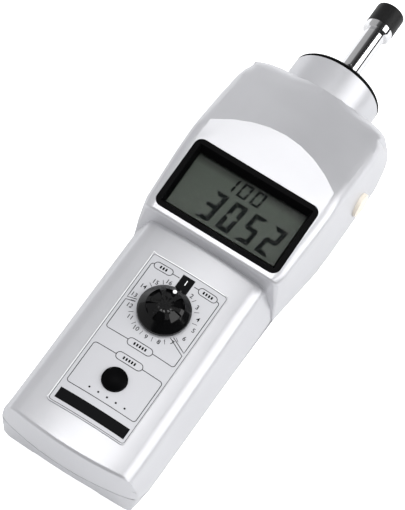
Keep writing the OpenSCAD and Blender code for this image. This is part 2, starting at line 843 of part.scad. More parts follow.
module rear_case() {
    placed() color("gainsboro")
        difference() {
            union() {
                difference() {
                    rear_skin();
                    cover_slot();
                    nose_space();
                }
                for (p = screw_places)
                    translate([p[0], p[1], wall + boss_lift])
                        cylinder(r = rear_boss_r, h = joint_z(p[1]) - wall - boss_lift);
                battery_bay();
                for (p = sensor_pads)
                    translate([p[0], p[1], wall / 2])
                        cylinder(r = sensor_pad_r, h = sensor_board_z - wall / 2);
            }
            for (p = screw_places) {
                translate([p[0], p[1], -cut])
                    cylinder(r = head_bore_r, h = head_seat_z + cut);
                translate([p[0], p[1], -cut])
                    cylinder(r = screw_hole_r, h = joint_z(p[1]) + 2 * cut);
            }
            for (p = sensor_pads)
                translate([p[0], p[1], wall / 2])
                    cylinder(r = board_screw_r + grip, h = sensor_board_z);
        }
}

module nose_sleeve() {
    placed() color("silver")
        difference() {
            union() {
                tube(nose_r, 0, nose_back_y, sleeve_front_y);
                block([-ear_half, nose_back_y, axis_z - ear_foot],
                      [ear_half, nose_back_y + ear_t, axis_z + ear_screw_rise + ear_rim]);
            }
            tube(sleeve_bore_r, 0, nose_back_y - cut, sleeve_front_y - lip_t);
            tube(lip_r, 0, nose_back_y - cut, sleeve_front_y + cut);
            ear_holes(nose_back_y);
        }
}

module ear_holes(y) {
    for (s = [-1, 1])
        translate([s * ear_screw_x, y - cut, axis_z + ear_screw_rise])
            rotate([-90, 0, 0])
                cylinder(r = screw_hole_r, h = ear_t + 2 * cut);
}

module nose_cap() {
    placed() color([0.08, 0.08, 0.09])
        difference() {
            on_axis(sleeve_front_y)
                rotate_extrude()
                    polygon([[cap_hole_r, 0], [nose_r - seat, 0], [nose_r - seat, cap_t - cap_step],
                             [nose_r - cap_step, cap_t], [cap_hole_r, cap_t]]);
        }
}

module housing_screws() {
    placed() color("dimgray")
        for (s = [-1, 1])
            translate([s * ear_screw_x, rear_bearing_y, axis_z + ear_screw_rise])
                rotate([-90, 0, 0])
                    screw(screw_r, housing_screw_l, screw_head_r, screw_head_h);
}

module bearing_housing() {
    placed() color("lightslategray")
        difference() {
            union() {
                tube(sleeve_bore_r - seat, 0, rear_bearing_y, front_bearing_y + bearing_w);
                block([-ear_half, rear_bearing_y, axis_z - ear_foot],
                      [ear_half, nose_back_y, axis_z + ear_screw_rise + ear_rim]);
            }
            tube(bearing_r + grip, 0, rear_bearing_y - cut, rear_bearing_y + bearing_w);
            tube(bearing_r - shoulder_step, 0, rear_bearing_y, front_bearing_y);
            tube(bearing_r + grip, 0, front_bearing_y, front_bearing_y + bearing_w + cut);
            ear_holes(rear_bearing_y);
        }
}

bearing_ys = [rear_bearing_y, front_bearing_y];

// Race between two radii, with a groove for the balls
module race(outer, inner) {
    for (y = bearing_ys)
        on_axis(y)
            rotate_extrude()
                difference() {
                    translate([inner, 0])
                        square([outer - inner, bearing_w]);
                    translate([ball_ring_r, bearing_w / 2])
                        circle(ball_r + seat);
                }
}

module bearing_outer_rings() {
    placed() color("gray")
        race(bearing_r, outer_race_r);
}

module bearing_inner_rings() {
    placed() color("lightgray")
        race(inner_race_r, spindle_r + grip);
}

module bearing_balls() {
    placed() color("white")
        for (y = bearing_ys)
            on_axis(y + bearing_w / 2)
                for (k = [0 : balls - 1])
                    rotate(360 * k / balls)
                        translate([ball_ring_r, 0, 0])
                            sphere(ball_r);
}

module bearing_spacer() {
    placed() color("darkgray")
        tube(spacer_r, spindle_r + grip, rear_bearing_y + bearing_w + seat, front_bearing_y - seat);
}

module spindle() {
    collar_y = front_bearing_y + bearing_w + seat;
    placed() color("lightgray")
        difference() {
            union() {
                tube(spindle_r, 0, spindle_y0, collar_y);
                tube(shaft_collar_r, 0, collar_y, stub_y);
                tube(stub_r, 0, stub_y, stub_y + stub_l);
            }
            on_axis(ring_y - seat)
                difference() {
                    cylinder(r = spindle_r + cut, h = ring_t + 2 * seat);
                    translate([0, 0, -cut])
                        cylinder(r = spindle_r - ring_groove, h = ring_t + 2 * cut);
                }
            block([-stub_r, stub_y + adaptor_gap, axis_z + stub_r - stub_flat],
                  [stub_r, stub_y + stub_l + cut, axis_z + stub_r + cut]);
        }
}

module retaining_ring() {
    placed() color("dimgray")
        difference() {
            tube(ring_r, spindle_r - ring_groove + grip, ring_y, ring_y + ring_t);
            block([-spindle_r / 2, ring_y - cut, axis_z],
                  [spindle_r / 2, ring_y + ring_t + cut, axis_z + ring_r + cut]);
        }
}

module encoder_disc() {
    placed() color([0.15, 0.15, 0.16])
        difference() {
            tube(disc_r, spindle_r + hub_bore_fit, disc_y, disc_y + disc_t);
            on_axis(disc_y - cut)
                for (k = [0 : disc_slots - 1])
                    rotate(360 * k / disc_slots)
                        translate([disc_r - slot_in, -slot_w / 2, 0])
                            cube([slot_in - slot_out, slot_w, disc_t + 2 * cut]);
        }
}

module disc_hub() {
    placed() color("gold")
        tube(hub_r, spindle_r + hub_bore_fit, disc_y - hub_l, disc_y);
}

module adaptor_sleeve() {
    collar_y = adaptor_y + adaptor_l;
    placed() color("whitesmoke")
        difference() {
            on_axis(adaptor_y)
                rotate_extrude()
                    polygon([[0, 0], [adaptor_r - tube_chamfer, 0], [adaptor_r, tube_chamfer], [adaptor_r, adaptor_l],
                             [collar_r - collar_round, adaptor_l], [collar_r, adaptor_l + collar_round],
                             [collar_r, adaptor_l + collar_l], [spigot_r, adaptor_l + collar_l],
                             [spigot_r, adaptor_l + collar_l + spigot_l], [0, adaptor_l + collar_l + spigot_l]]);
            tube(stub_r + bore_fit, 0, adaptor_y - cut, stub_y + stub_l + bore_extra);
            translate([0, adaptor_y + cross_hole_y, axis_z - adaptor_r - cut])
                cylinder(r = cross_hole_r, h = 2 * adaptor_r + 2 * cut);
        }
}

module rubber_tip() {
    tip_y = adaptor_y + adaptor_l + collar_l;
    placed() color([0.05, 0.05, 0.05])
        difference() {
            on_axis(tip_y)
                rotate_extrude()
                    polygon(concat([[0, 0], [tip_r, 0]],
                        [for (k = [0 : edge_steps]) let (a = 90 * k / edge_steps)
                            [tip_r - tip_round * (1 - cos(a)), tip_l - tip_round * (1 - sin(a))]],
                        [[0, tip_l]]));
            tube(spigot_r + tip_bore_fit, 0, tip_y - cut, tip_y + spigot_l + tip_bore_fit);
            on_axis(tip_y + tip_l - tip_dish_d)
                cylinder(r1 = tip_dish_r / 2, r2 = tip_dish_r, h = tip_dish_d + seat);
        }
}

module battery_cover() {
    placed() color([0.12, 0.12, 0.13])
        difference() {
            shouldered(0)
                cover_profile();
            for (k = [0 : cover_ribs - 1])
                translate([-cover_rib_l / 2, cover_rib_y + k * cover_rib_pitch, -cut])
                    cube([cover_rib_l, cover_rib_w, cut + cover_skin + cover_rib_d]);
        }
}

module case_screws() {
    placed() color("dimgray")
        for (p = screw_places)
            translate([p[0], p[1], head_seat_z])
                screw(screw_r, screw_l, screw_head_r, screw_head_h);
}

module display_bezel() {
    placed() color([0.06, 0.06, 0.07])
        on_display()
            difference() {
                union() {
                    translate([0, 0, -bezel_d])
                        rounded_plate(bezel_w, bezel_l, bezel_corner_r, bezel_d);
                    translate([-bezel_flange_x, 0, -bezel_d])
                        cube([2 * bezel_flange_x, bezel_l / 2 + bezel_flange_up, bezel_d - wall - seat]);
                }
                bezel_opening();
            }
}

// Opening that narrows from the face down to the window
module bezel_opening() {
    extra = cut / bezel_d;
    low = opening_foot + (opening_foot - opening_top) * extra;
    high = opening_top + (opening_top - opening_foot) * extra;
    corners = [[-1, -1], [1, -1], [1, 1], [-1, 1]];
    polyhedron(
        points = concat([for (c = corners) [c[0] * low[0] / 2, c[1] * low[1] / 2, -bezel_d - cut]],
                        [for (c = corners) [c[0] * high[0] / 2, c[1] * high[1] / 2, cut]]),
        faces = [[0, 1, 2, 3], [7, 6, 5, 4], [4, 5, 1, 0], [5, 6, 2, 1], [6, 7, 3, 2], [7, 4, 0, 3]]);
}

// Flat plate in the display stack between two depths
module display_plate(size, top, foot) {
    on_display()
        translate([-size[0] / 2, -size[1] / 2, -foot])
            cube([size[0], size[1], foot - top]);
}

module window_lens() {
    placed() color([0.75, 0.8, 0.78, 0.5])
        display_plate(window_size, window_top, window_top + window_t);
}

module lcd_panel() {
    placed() color([0.29, 0.32, 0.28])
        display_plate(lcd_size, lcd_top, lcd_foot);
}

module lcd_holder() {
    outer = lcd_size + 2 * [holder_wall, holder_wall];
    inner = lcd_size + 2 * [seat, seat];
    placed() color([0.85, 0.85, 0.82])
        difference() {
            display_plate(outer, window_top, display_board_top);
            display_plate(inner, window_top - cut, display_board_top + cut);
        }
}

module zebra_strips() {
    placed() color([0.9, 0.55, 0.6])
        on_display()
            for (s = [-1, 1])
                translate([-zebra_l / 2, s * (lcd_size[1] / 2 - zebra_w) - zebra_w / 2, -display_board_top])
                    cube([zebra_l, zebra_w, board_lcd_gap]);
}

module display_board() {
    down = bezel_l / 2;
    placed() color("darkgreen")
        on_display()
            difference() {
                union() {
                    translate([-display_board_half, -down, -display_board_top - board_t])
                        cube([2 * display_board_half, down + display_board_up, board_t]);
                    translate([-display_tab_half, -down - display_tab_l, -display_board_top - board_t])
                        cube([2 * display_tab_half, display_tab_l + cut, board_t]);
                }
                for (s = [-1, 1])
                    translate([s * display_post_x, display_post_up, -display_board_top - board_t - cut])
                        cylinder(r = board_hole_r, h = board_t + 2 * cut);
            }
}

// Thin sheet that follows the handle's crown
module crowned_sheet(w, l, t) {
    r = handle_crown_r + seat;
    intersection() {
        translate([0, 0, face_z - handle_crown_r])
            rotate([-90, 0, 0])
                difference() {
                    cylinder(r = r + t, h = l, $fn = 360);
                    translate([0, 0, -cut])
                        cylinder(r = r, h = l + 2 * cut, $fn = 360);
                }
        translate([0, l / 2, face_z - wall])
            rounded_plate(w, l, label_corner_r, 2 * wall);
    }
}

module faceplate_label() {
    placed() color("whitesmoke")
        difference() {
            translate([0, label_y, 0])
                crowned_sheet(label_w, label_l, label_t);
            translate([0, knob_y, face_z - wall])
                cylinder(r = shaft_hole_r, h = 2 * wall);
            translate([0, memory_y, face_z - wall])
                cylinder(r = memory_r + slide, h = 2 * wall);
        }
}

module selector_knob() {
    h = knob_top_z - knob_z;
    placed() color([0.07, 0.07, 0.08])
        translate([0, knob_y, knob_z])
            difference() {
                rotate_extrude()
                    polygon([[0, 0], [knob_r, 0], [knob_r, knob_skirt_h], [knob_r - knob_skirt_step, knob_skirt_h],
                             [knob_top_r + knob_top_round, h - knob_top_round], [knob_top_r, h], [0, h]]);
                for (k = [0 : knob_scoops - 1])
                    rotate(360 * k / knob_scoops)
                        translate([knob_r + scoop_r - scoop_reach, 0, knob_skirt_h])
                            rotate([0, -scoop_tilt, 0])
                                cylinder(r = scoop_r, h = 2 * h);
                translate([0, 0, -cut])
                    cylinder(r = shaft_r + grip, h = h - knob_cover_t + cut);
                translate([0, dot_from_axis, h - dot_t])
                    cylinder(r = dot_r, h = dot_t + cut);
            }
}

module knob_dot() {
    placed() color("white")
        translate([0, knob_y + dot_from_axis, knob_top_z - dot_t])
            cylinder(r = dot_r - grip, h = dot_t);
}

module switch_shaft() {
    foot = main_board_z + board_t + shaft_floor;
    placed() color("silver")
        translate([0, knob_y, foot + seat])
            difference() {
                cylinder(r = shaft_r, h = knob_top_z - knob_cover_t - foot - 2 * seat);
                translate([-shaft_r, shaft_r - shaft_flat, knob_z - foot])
                    cube([2 * shaft_r, shaft_flat + cut, knob_h]);
            }
}

module selector_switch() {
    placed() color([0.1, 0.25, 0.2])
        translate([0, knob_y, main_board_z + board_t])
            difference() {
                union() {
                    cylinder(r = switch_r, h = switch_h - switch_neck_h);
                    cylinder(r = switch_neck_r, h = switch_h);
                }
                translate([0, 0, shaft_floor])
                    cylinder(r = shaft_r + run, h = switch_h);
            }
}

module memory_button() {
    top = face_z + button_rise;
    placed() color([0.1, 0.1, 0.11])
        translate([0, memory_y, 0]) {
            intersection() {
                translate([0, 0, memory_flange_z + button_flange_t])
                    cylinder(r = memory_r, h = top - memory_flange_z);
                translate([0, 0, top + button_dome - dome_r(memory_r)])
                    sphere(dome_r(memory_r), $fn = 96);
            }
            translate([0, 0, memory_flange_z])
                cylinder(r = memory_r + button_flange, h = button_flange_t);
        }
}

// Radius of a dome that rises by the button's dome height over radius r
function dome_r(r) = (r * r + button_dome * button_dome) / (2 * button_dome);

module memory_switch() {
    foot = main_board_z + board_t;
    top = memory_flange_z - memory_travel - press_margin;
    placed() color([0.15, 0.15, 0.17])
        translate([0, memory_y, foot]) {
            translate([-memory_switch_w / 2, -memory_switch_w / 2, 0])
                cube([memory_switch_w, memory_switch_w, memory_switch_t]);
            cylinder(r = memory_cap_r, h = top - foot);
        }
}

module measure_button() {
    tip = measure_wall_x + measure_rise;
    placed() color("ivory")
        translate([0, measure_y, measure_z])
            rotate([0, 90, 0]) {
                intersection() {
                    translate([0, 0, measure_flange_x + button_flange_t])
                        cylinder(r = measure_r, h = tip - measure_flange_x);
                    translate([0, 0, tip - dome_r(measure_r)])
                        sphere(dome_r(measure_r), $fn = 96);
                }
                translate([0, 0, measure_flange_x])
                    cylinder(r = measure_r + button_flange, h = button_flange_t);
            }
}

side_board_y = measure_y - side_board_drop;
side_board_z = measure_z - side_board_drop;
side_posts = [for (y = [side_post_inset, side_board_l - side_post_inset])
    [side_board_y + y, side_board_z + side_board_h - side_post_inset]];

module switch_board() {
    placed() color("darkgreen")
        difference() {
            block([side_board_x, side_board_y, side_board_z],
                  [side_board_x + side_board_t, side_board_y + side_board_l, side_board_z + side_board_h]);
            for (p = side_posts)
                translate([side_board_x - cut, p[0], p[1]])
                    rotate([0, 90, 0])
                        cylinder(r = board_hole_r, h = side_board_t + 2 * cut);
        }
}

module measure_switch() {
    foot = side_board_x + side_board_t;
    top = measure_flange_x - measure_travel - press_margin;
    placed() color([0.15, 0.15, 0.17])
        translate([foot, measure_y, measure_z]) {
            translate([0, -side_switch_w / 2, -side_switch_w / 2])
                cube([side_switch_t, side_switch_w, side_switch_w]);
            rotate([0, 90, 0])
                cylinder(r = side_cap_r, h = top - foot);
        }
}

module main_board() {
    placed() color("darkgreen")
        difference() {
            block([-main_board_half, main_board_y, main_board_z],
                  [main_board_half, main_board_end_y, main_board_z + board_t]);
            for (p = main_posts)
                translate([p[0], p[1], main_board_z - cut])
                    cylinder(r = board_hole_r, h = board_t + 2 * cut);
        }
}

module board_chips() {
    top = main_board_z + board_t;
    placed() color([0.1, 0.1, 0.1]) {
        translate([-chip_x - chip_w / 2, chip_gap_y - chip_w / 2, top])
            cube([chip_w, chip_w, chip_t]);
        translate([chip_x - small_chip_w / 2, chip_gap_y - small_chip_l / 2, top])
            cube([small_chip_w, small_chip_l, chip_t]);
        translate([chip_x - crystal_l / 2, chip_gap_y - small_chip_l, top + crystal_r])
            rotate([0, 90, 0])
                cylinder(r = crystal_r, h = crystal_l);
    }
}

module board_screws() {
    placed() color("lightgray") {
        for (p = main_posts)
            translate([p[0], p[1], main_board_z])
                board_screw();
        on_display()
            for (s = [-1, 1])
                translate([s * display_post_x, display_post_up, -display_board_top - board_t])
                    board_screw();
        for (p = side_posts)
            translate([side_board_x, p[0], p[1]])
                rotate([0, 90, 0])
                    board_screw();
        for (p = sensor_pads)
            translate([p[0], p[1], sensor_board_z + board_t])
                mirror([0, 0, 1])
                    screw(board_screw_r, sensor_screw_l, board_screw_head_r, board_screw_head_h);
    }
}

sensor_y = disc_y + disc_t / 2 - sensor_board_l / 2;
sensor_screw_l = board_t + sensor_lift + wall / 2 - seat;
sensor_pads = [for (x = [-1, 1]) for (y = [sensor_pad_inset, sensor_board_l - sensor_pad_inset])
    [x * (sensor_board_half - sensor_pad_inset), sensor_y + y]];

module sensor_board() {
    placed() color("darkgreen")
        difference() {
            block([-sensor_board_half, sensor_y, sensor_board_z],
                  [sensor_board_half, sensor_y + sensor_board_l, sensor_board_z + board_t]);
            for (p = sensor_pads)
                translate([p[0], p[1], sensor_board_z - cut])
                    cylinder(r = board_hole_r, h = board_t + 2 * cut);
        }
}

module photo_interrupter() {
    foot = sensor_board_z + board_t;
    mid = disc_y + disc_t / 2;
    half = sensor_slot / 2 + sensor_arm_t;
    placed() color([0.1, 0.1, 0.1])
        difference() {
            block([-sensor_w / 2, mid - half, foot], [sensor_w / 2, mid + half, sensor_top_z]);
            block([-sensor_w / 2 - cut, mid - sensor_slot / 2, sensor_base_z],
                  [sensor_w / 2 + cut, mid + sensor_slot / 2, sensor_top_z + cut]);
        }
}

// The two cells lie side by side, turned end for end: s is -1 or 1 and swaps the ends
module at_cell(s) {
    translate([s * cell_pitch / 2, bay_y + bay_l / 2, cell_z])
        rotate([0, 0, s > 0 ? 180 : 0])
            translate([0, -bay_l / 2, 0])
                children();
}

module batteries() {
    placed() color("steelblue")
        for (s = [-1, 1])
            at_cell(s)
                translate([0, contact_t + spring_l + seat, 0])
                    rotate([-90, 0, 0])
                        rotate_extrude()
                            polygon([[0, 0], [cell_r - cell_round, 0], [cell_r, cell_round],
                                     [cell_r, cell_l - cell_round], [cell_r - cell_round, cell_l],
                                     [cell_nub_r, cell_l], [cell_nub_r, cell_l + cell_nub_l],
                                     [0, cell_l + cell_nub_l]]);
}

// Centre line of a spring: a cone-shaped coil whose turns climb evenly
spring_count = spring_turns * spring_steps;
function spring_at(k) =
    let (u = k / spring_count, a = 360 * k / spring_steps, r = lerp(spring_r, spring_tip_r, u))
    [r * cos(a), wire_r + (spring_l - 2 * wire_r) * u, r * sin(a)];
function spring_ring(k) =
    let (a = 360 * k / spring_steps, p = spring_at(k))
    [for (j = [0 : wire_sides - 1]) let (b = 360 * j / wire_sides)
        p + wire_r * [cos(b) * cos(a), sin(b), cos(b) * sin(a)]];

// Least gap of the wire to itself, from the centre line more than half a turn apart
spring_gap = min([for (i = [0 : spring_count]) for (j = [0 : spring_count])
    if (j - i > spring_steps / 2) norm(spring_at(i) - spring_at(j))]) - 2 * wire_r;
echo(least_gap_of_the_spring_wire_to_itself = spring_gap);

module coil_spring() {
    n = wire_sides;
    rings = spring_count;
    polyhedron(
        points = [for (k = [0 : rings]) each spring_ring(k)],
        faces = concat(
            [for (k = [0 : rings - 1]) for (j = [0 : n - 1])
                let (a = k * n + j, b = k * n + (j + 1) % n)
                each [[a, b, b + n], [a, b + n, a + n]]],
            [for (j = [1 : n - 2]) [0, j + 1, j]],
            [for (j = [1 : n - 2]) [rings * n, rings * n + j, rings * n + j + 1]]));
}

module battery_springs() {
    placed() color("silver")
        for (s = [-1, 1])
            at_cell(s)
                translate([0, contact_t, 0])
                    coil_spring();
}

module battery_contacts() {
    placed() color("lightgray") {
        for (s = [-1, 1])
            block([s * cell_pitch / 2 - contact_w / 2, bay_y, cell_z - contact_h / 2],
                  [s * cell_pitch / 2 + contact_w / 2, bay_y + contact_t, cell_z + contact_h / 2]);
        block([-cell_pitch / 2 - contact_w / 2, bay_y + bay_l - contact_t, cell_z - contact_h / 2],
              [cell_pitch / 2 + contact_w / 2, bay_y + bay_l, cell_z + contact_h / 2]);
    }
}

front_case();
rear_case();
nose_sleeve();
nose_cap();
battery_cover();
case_screws();
display_bezel();
window_lens();
lcd_panel();
lcd_holder();
zebra_strips();
display_board();
faceplate_label();
selector_knob();
knob_dot();
switch_shaft();
selector_switch();
memory_button();
memory_switch();
measure_button();
measure_switch();
switch_board();
main_board();
board_chips();
board_screws();
sensor_board();
photo_interrupter();
batteries();
battery_springs();
battery_contacts();
bearing_housing();
housing_screws();
bearing_outer_rings();
bearing_balls();
bearing_inner_rings();
bearing_spacer();
spindle();
retaining_ring();
encoder_disc();
disc_hub();
adaptor_sleeve();
rubber_tip();
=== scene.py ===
import bpy, bmesh, math
from mathutils import Vector, Matrix
from mathutils.bvhtree import BVHTree


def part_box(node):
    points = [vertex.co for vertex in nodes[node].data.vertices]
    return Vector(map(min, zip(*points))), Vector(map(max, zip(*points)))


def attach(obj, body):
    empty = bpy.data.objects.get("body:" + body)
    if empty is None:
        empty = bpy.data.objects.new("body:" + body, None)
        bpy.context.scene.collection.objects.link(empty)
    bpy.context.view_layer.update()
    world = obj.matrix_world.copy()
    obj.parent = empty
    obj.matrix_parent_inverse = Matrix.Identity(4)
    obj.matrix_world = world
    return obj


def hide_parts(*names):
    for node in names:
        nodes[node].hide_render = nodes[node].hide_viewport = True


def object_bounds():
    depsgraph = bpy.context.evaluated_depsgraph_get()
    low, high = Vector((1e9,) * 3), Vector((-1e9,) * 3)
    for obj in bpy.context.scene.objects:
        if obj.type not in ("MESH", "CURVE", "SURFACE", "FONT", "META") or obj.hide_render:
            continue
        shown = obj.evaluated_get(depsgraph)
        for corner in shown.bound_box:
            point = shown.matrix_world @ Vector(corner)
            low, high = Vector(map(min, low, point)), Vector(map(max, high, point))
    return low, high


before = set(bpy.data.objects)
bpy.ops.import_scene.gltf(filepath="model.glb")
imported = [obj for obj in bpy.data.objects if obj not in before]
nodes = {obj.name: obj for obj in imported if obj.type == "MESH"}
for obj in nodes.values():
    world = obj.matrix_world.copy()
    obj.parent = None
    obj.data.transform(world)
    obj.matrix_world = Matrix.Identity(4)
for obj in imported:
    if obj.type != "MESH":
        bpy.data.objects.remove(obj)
cad_low, cad_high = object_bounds()
scene = bpy.context.scene
scene.view_settings.view_transform = "Standard"
scene.view_settings.look = "None"
MM = 0.001


def middle(node):
    """Middle of a node's box, in millimetres."""
    low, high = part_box(node)
    return [(a + b) / 2 / MM for a, b in zip(low, high)]


# Materials: every finish has an uneven colour, an uneven gloss and a fine relief, all from noise

# Share of a noise pattern's range over which colour and gloss change
NOISE_LOW, NOISE_HIGH = 0.3, 0.7


def shader_node(tree, kind, **values):
    """New node, with its input values set; an underscore in a name stands for a space."""
    made = tree.nodes.new(kind)
    for name, value in values.items():
        made.inputs[name.replace("_", " ")].default_value = value
    return made


def new_material(name, **values):
    material = bpy.data.materials.new(name)
    material.use_nodes = True
    tree = material.node_tree
    tree.nodes.clear()
    out = shader_node(tree, "ShaderNodeOutputMaterial")
    shader = shader_node(tree, "ShaderNodeBsdfPrincipled", **values)
    tree.links.new(shader.outputs["BSDF"], out.inputs["Surface"])
    return material, tree, shader


def noise(tree, scale, detail, rough=0.5, stretch=None):
    coordinates = shader_node(tree, "ShaderNodeTexCoord").outputs["Object"]
    pattern = shader_node(tree, "ShaderNodeTexNoise", Scale=scale, Detail=detail, Roughness=rough)
    if stretch:
        mapping = shader_node(tree, "ShaderNodeMapping", Scale=stretch)
        tree.links.new(coordinates, mapping.inputs["Vector"])
        coordinates = mapping.outputs["Vector"]
    tree.links.new(coordinates, pattern.inputs["Vector"])
    return pattern.outputs["Fac"]


def color_from(tree, shader, source, first, second, low=NOISE_LOW, high=NOISE_HIGH):
    """Base colour that goes from first to second as source goes from low to high."""
    blend = shader_node(tree, "ShaderNodeValToRGB")
    for stop, place, color in zip(blend.color_ramp.elements, (low, high), (first, second)):
        stop.position = place
        stop.color = (*color, 1)
    tree.links.new(source, blend.inputs["Fac"])
    tree.links.new(blend.outputs["Color"], shader.inputs["Base Color"])


def gloss_from(tree, shader, source, rough):
    """Roughness that goes over the range rough as source goes over its own."""
    span = shader_node(tree, "ShaderNodeMapRange", From_Min=NOISE_LOW, From_Max=NOISE_HIGH,
                       To_Min=rough[0], To_Max=rough[1])
    tree.links.new(source, span.inputs["Value"])
    tree.links.new(span.outputs["Result"], shader.inputs["Roughness"])


def relief_from(tree, shader, source, strength, depth):
    bump = shader_node(tree, "ShaderNodeBump", Strength=strength, Distance=depth)
    tree.links.new(source, bump.inputs["Height"])
    tree.links.new(bump.outputs["Normal"], shader.inputs["Normal"])


def plastic(name, color, spread=0.06, rough=(0.35, 0.5), grain=1400, depth=0.02 * MM, strength=0.25,
            metallic=0.0, specular=0.5):
    """Moulded or painted surface: slight colour variation, uneven gloss and a fine grain."""
    patch_scale, patch_detail, grain_detail, grain_rough = 60, 4, 4, 0.6
    material, tree, shader = new_material(name, Metallic=metallic, Specular_IOR_Level=specular)
    patches = noise(tree, patch_scale, patch_detail)
    color_from(tree, shader, patches, [c * (1 - spread) for c in color], [c * (1 + spread) for c in color])
    gloss_from(tree, shader, patches, rough)
    relief_from(tree, shader, noise(tree, grain, grain_detail, grain_rough), strength, depth)
    return material


def turned(name, color, rough, lines=9000, strength=0.15):
    """Turned metal: fine rings round the spindle's axis, with a slightly uneven polish."""
    patch_scale, patch_detail, dark_share = 150, 3, 0.93
    line_scale, line_detail, line_depth = 40, 2, 0.01 * MM
    material, tree, shader = new_material(name, Metallic=1.0)
    patches = noise(tree, patch_scale, patch_detail)
    color_from(tree, shader, patches, [c * dark_share for c in color], color)
    gloss_from(tree, shader, patches, rough)
    rings = noise(tree, line_scale, line_detail, stretch=(1, lines / line_scale, 1))
    relief_from(tree, shader, rings, strength, line_depth)
    return material


def board(name, mask, trace, rough=(0.3, 0.45)):
    """Printed circuit board: solder mask with a pattern of tracks beneath it."""
    track_scale, track_width, dark_share = 260, 0.012, 0.85
    grain, grain_detail, strength, depth = 500, 3, 0.2, 0.02 * MM
    material, tree, shader = new_material(name)
    coordinates = shader_node(tree, "ShaderNodeTexCoord")
    tracks = shader_node(tree, "ShaderNodeTexBrick", Scale=track_scale, Mortar_Size=track_width,
                         Color1=(*mask, 1), Color2=(*[c * dark_share for c in mask], 1), Mortar=(*trace, 1))
    tree.links.new(coordinates.outputs["Object"], tracks.inputs["Vector"])
    tree.links.new(tracks.outputs["Color"], shader.inputs["Base Color"])
    fine = noise(tree, grain, grain_detail)
    gloss_from(tree, shader, fine, rough)
    relief_from(tree, shader, fine, strength, depth)
    return material


def clear_window():
    """Thin clear pane: a faint dark veil with a soft reflection."""
    haze_scale, haze_detail, veil, rough = 200, 2, 0.06, (0.04, 0.08)
    material, tree, shader = new_material("clear_window", Specular_IOR_Level=0.2, Alpha=veil)
    haze = noise(tree, haze_scale, haze_detail)
    color_from(tree, shader, haze, (0.01, 0.011, 0.01), (0.014, 0.015, 0.014))
    gloss_from(tree, shader, haze, rough)
    return material


def lcd_glass():
    """Liquid crystal glass: grey-green, darker towards the top where the hood shades it."""
    shade_from, shade_to = 20.5 * MM, 24.5 * MM
    haze_scale, haze_detail, rough, strength, depth = 90, 3, (0.28, 0.36), 0.1, 0.01 * MM
    material, tree, shader = new_material("lcd_glass", Specular_IOR_Level=0.1)
    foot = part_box("lcd_panel")[0][1]
    place = shader_node(tree, "ShaderNodeSeparateXYZ")
    tree.links.new(shader_node(tree, "ShaderNodeTexCoord").outputs["Object"], place.inputs["Vector"])
    shade = shader_node(tree, "ShaderNodeMapRange", From_Min=foot + shade_from, From_Max=foot + shade_to)
    tree.links.new(place.outputs["Y"], shade.inputs["Value"])
    color_from(tree, shader, shade.outputs["Result"], (0.059, 0.071, 0.057), (0.004, 0.0045, 0.004), 0, 1)
    haze = noise(tree, haze_scale, haze_detail)
    gloss_from(tree, shader, haze, rough)
    relief_from(tree, shader, haze, strength, depth)
    return material


paint = plastic("case_paint", (0.62, 0.62, 0.64), spread=0.02, rough=(0.33, 0.38), grain=5200,
                depth=0.012 * MM, strength=0.18, metallic=0.5)
rear_paint = plastic("rear_paint", (0.6, 0.6, 0.62), spread=0.02, rough=(0.34, 0.4), grain=5200,
                     depth=0.012 * MM, strength=0.18, metallic=0.5)
black = plastic("black_plastic", (0.002, 0.002, 0.0022), spread=0.2, rough=(0.32, 0.42), grain=2600,
                specular=0.03)
knob_black = plastic("knob_plastic", (0.0025, 0.0025, 0.0028), spread=0.2, rough=(0.12, 0.17), grain=3200,
                     depth=0.012 * MM, strength=0.1, specular=0.32)
white = plastic("white_plastic", (0.8, 0.8, 0.77), spread=0.03)
white_dot = plastic("white_paint", (0.9, 0.9, 0.9), spread=0.02, rough=(0.4, 0.5))
ivory = plastic("ivory_plastic", (0.86, 0.79, 0.68), spread=0.03, rough=(0.3, 0.4), grain=1800)
film = plastic("label_film", (0.57, 0.57, 0.59), spread=0.015, rough=(0.42, 0.5), grain=3800,
               depth=0.015 * MM, strength=0.22, metallic=0.2)
# Near-white for the printed number, also used for the painted highlight along the film's edge
white_print_and_edge_highlight = plastic("white_print_and_edge_highlight", (0.95, 0.95, 0.95), spread=0.01, rough=(0.4, 0.5))
# Black ink for the printing, also used for the painted shadow line round the label's edge
label_ink_and_edge_shadow = plastic("label_ink_and_edge_shadow", (0.004, 0.004, 0.005), spread=0.15, rough=(0.5, 0.6), grain=3000,
                    depth=0.01 * MM, strength=0.15, specular=0.08)
lcd_ink = plastic("lcd_ink", (0.002, 0.003, 0.003), spread=0.1, rough=(0.5, 0.6), strength=0.2, specular=0.0)
elastomer = plastic("elastomer", (0.6, 0.35, 0.35), spread=0.1, rough=(0.6, 0.7), grain=900)
green = board("board_green", (0.01, 0.11, 0.035), (0.02, 0.2, 0.07))
switch_black = plastic("switch_body", (0.03, 0.03, 0.035), spread=0.15, rough=(0.4, 0.5), grain=1500)
chips = plastic("chip_body", (0.02, 0.02, 0.022), spread=0.2, rough=(0.5, 0.6), grain=2200)
jacket = plastic("cell_jacket", (0.08, 0.14, 0.3), spread=0.08, rough=(0.25, 0.35), grain=700,
                 depth=0.01 * MM, strength=0.1, metallic=0.3)
rubber = plastic("rubber", (0.006, 0.006, 0.006), spread=0.25, rough=(0.4, 0.5), grain=1600,
                 depth=0.04 * MM, strength=0.35, specular=0.3)
aluminium = turned("aluminium", (0.75, 0.75, 0.77), rough=(0.28, 0.4))
steel = turned("bright_steel", (0.68, 0.68, 0.69), rough=(0.2, 0.3))
blackened = turned("dark_steel", (0.12, 0.12, 0.125), rough=(0.35, 0.45))
bearing = turned("bearing_steel", (0.6, 0.6, 0.61), rough=(0.15, 0.25))
chrome = turned("chrome", (0.86, 0.86, 0.87), rough=(0.05, 0.09), lines=4000, strength=0.05)
brass = turned("brass", (0.75, 0.55, 0.22), rough=(0.25, 0.35))
window = clear_window()
lcd = lcd_glass()

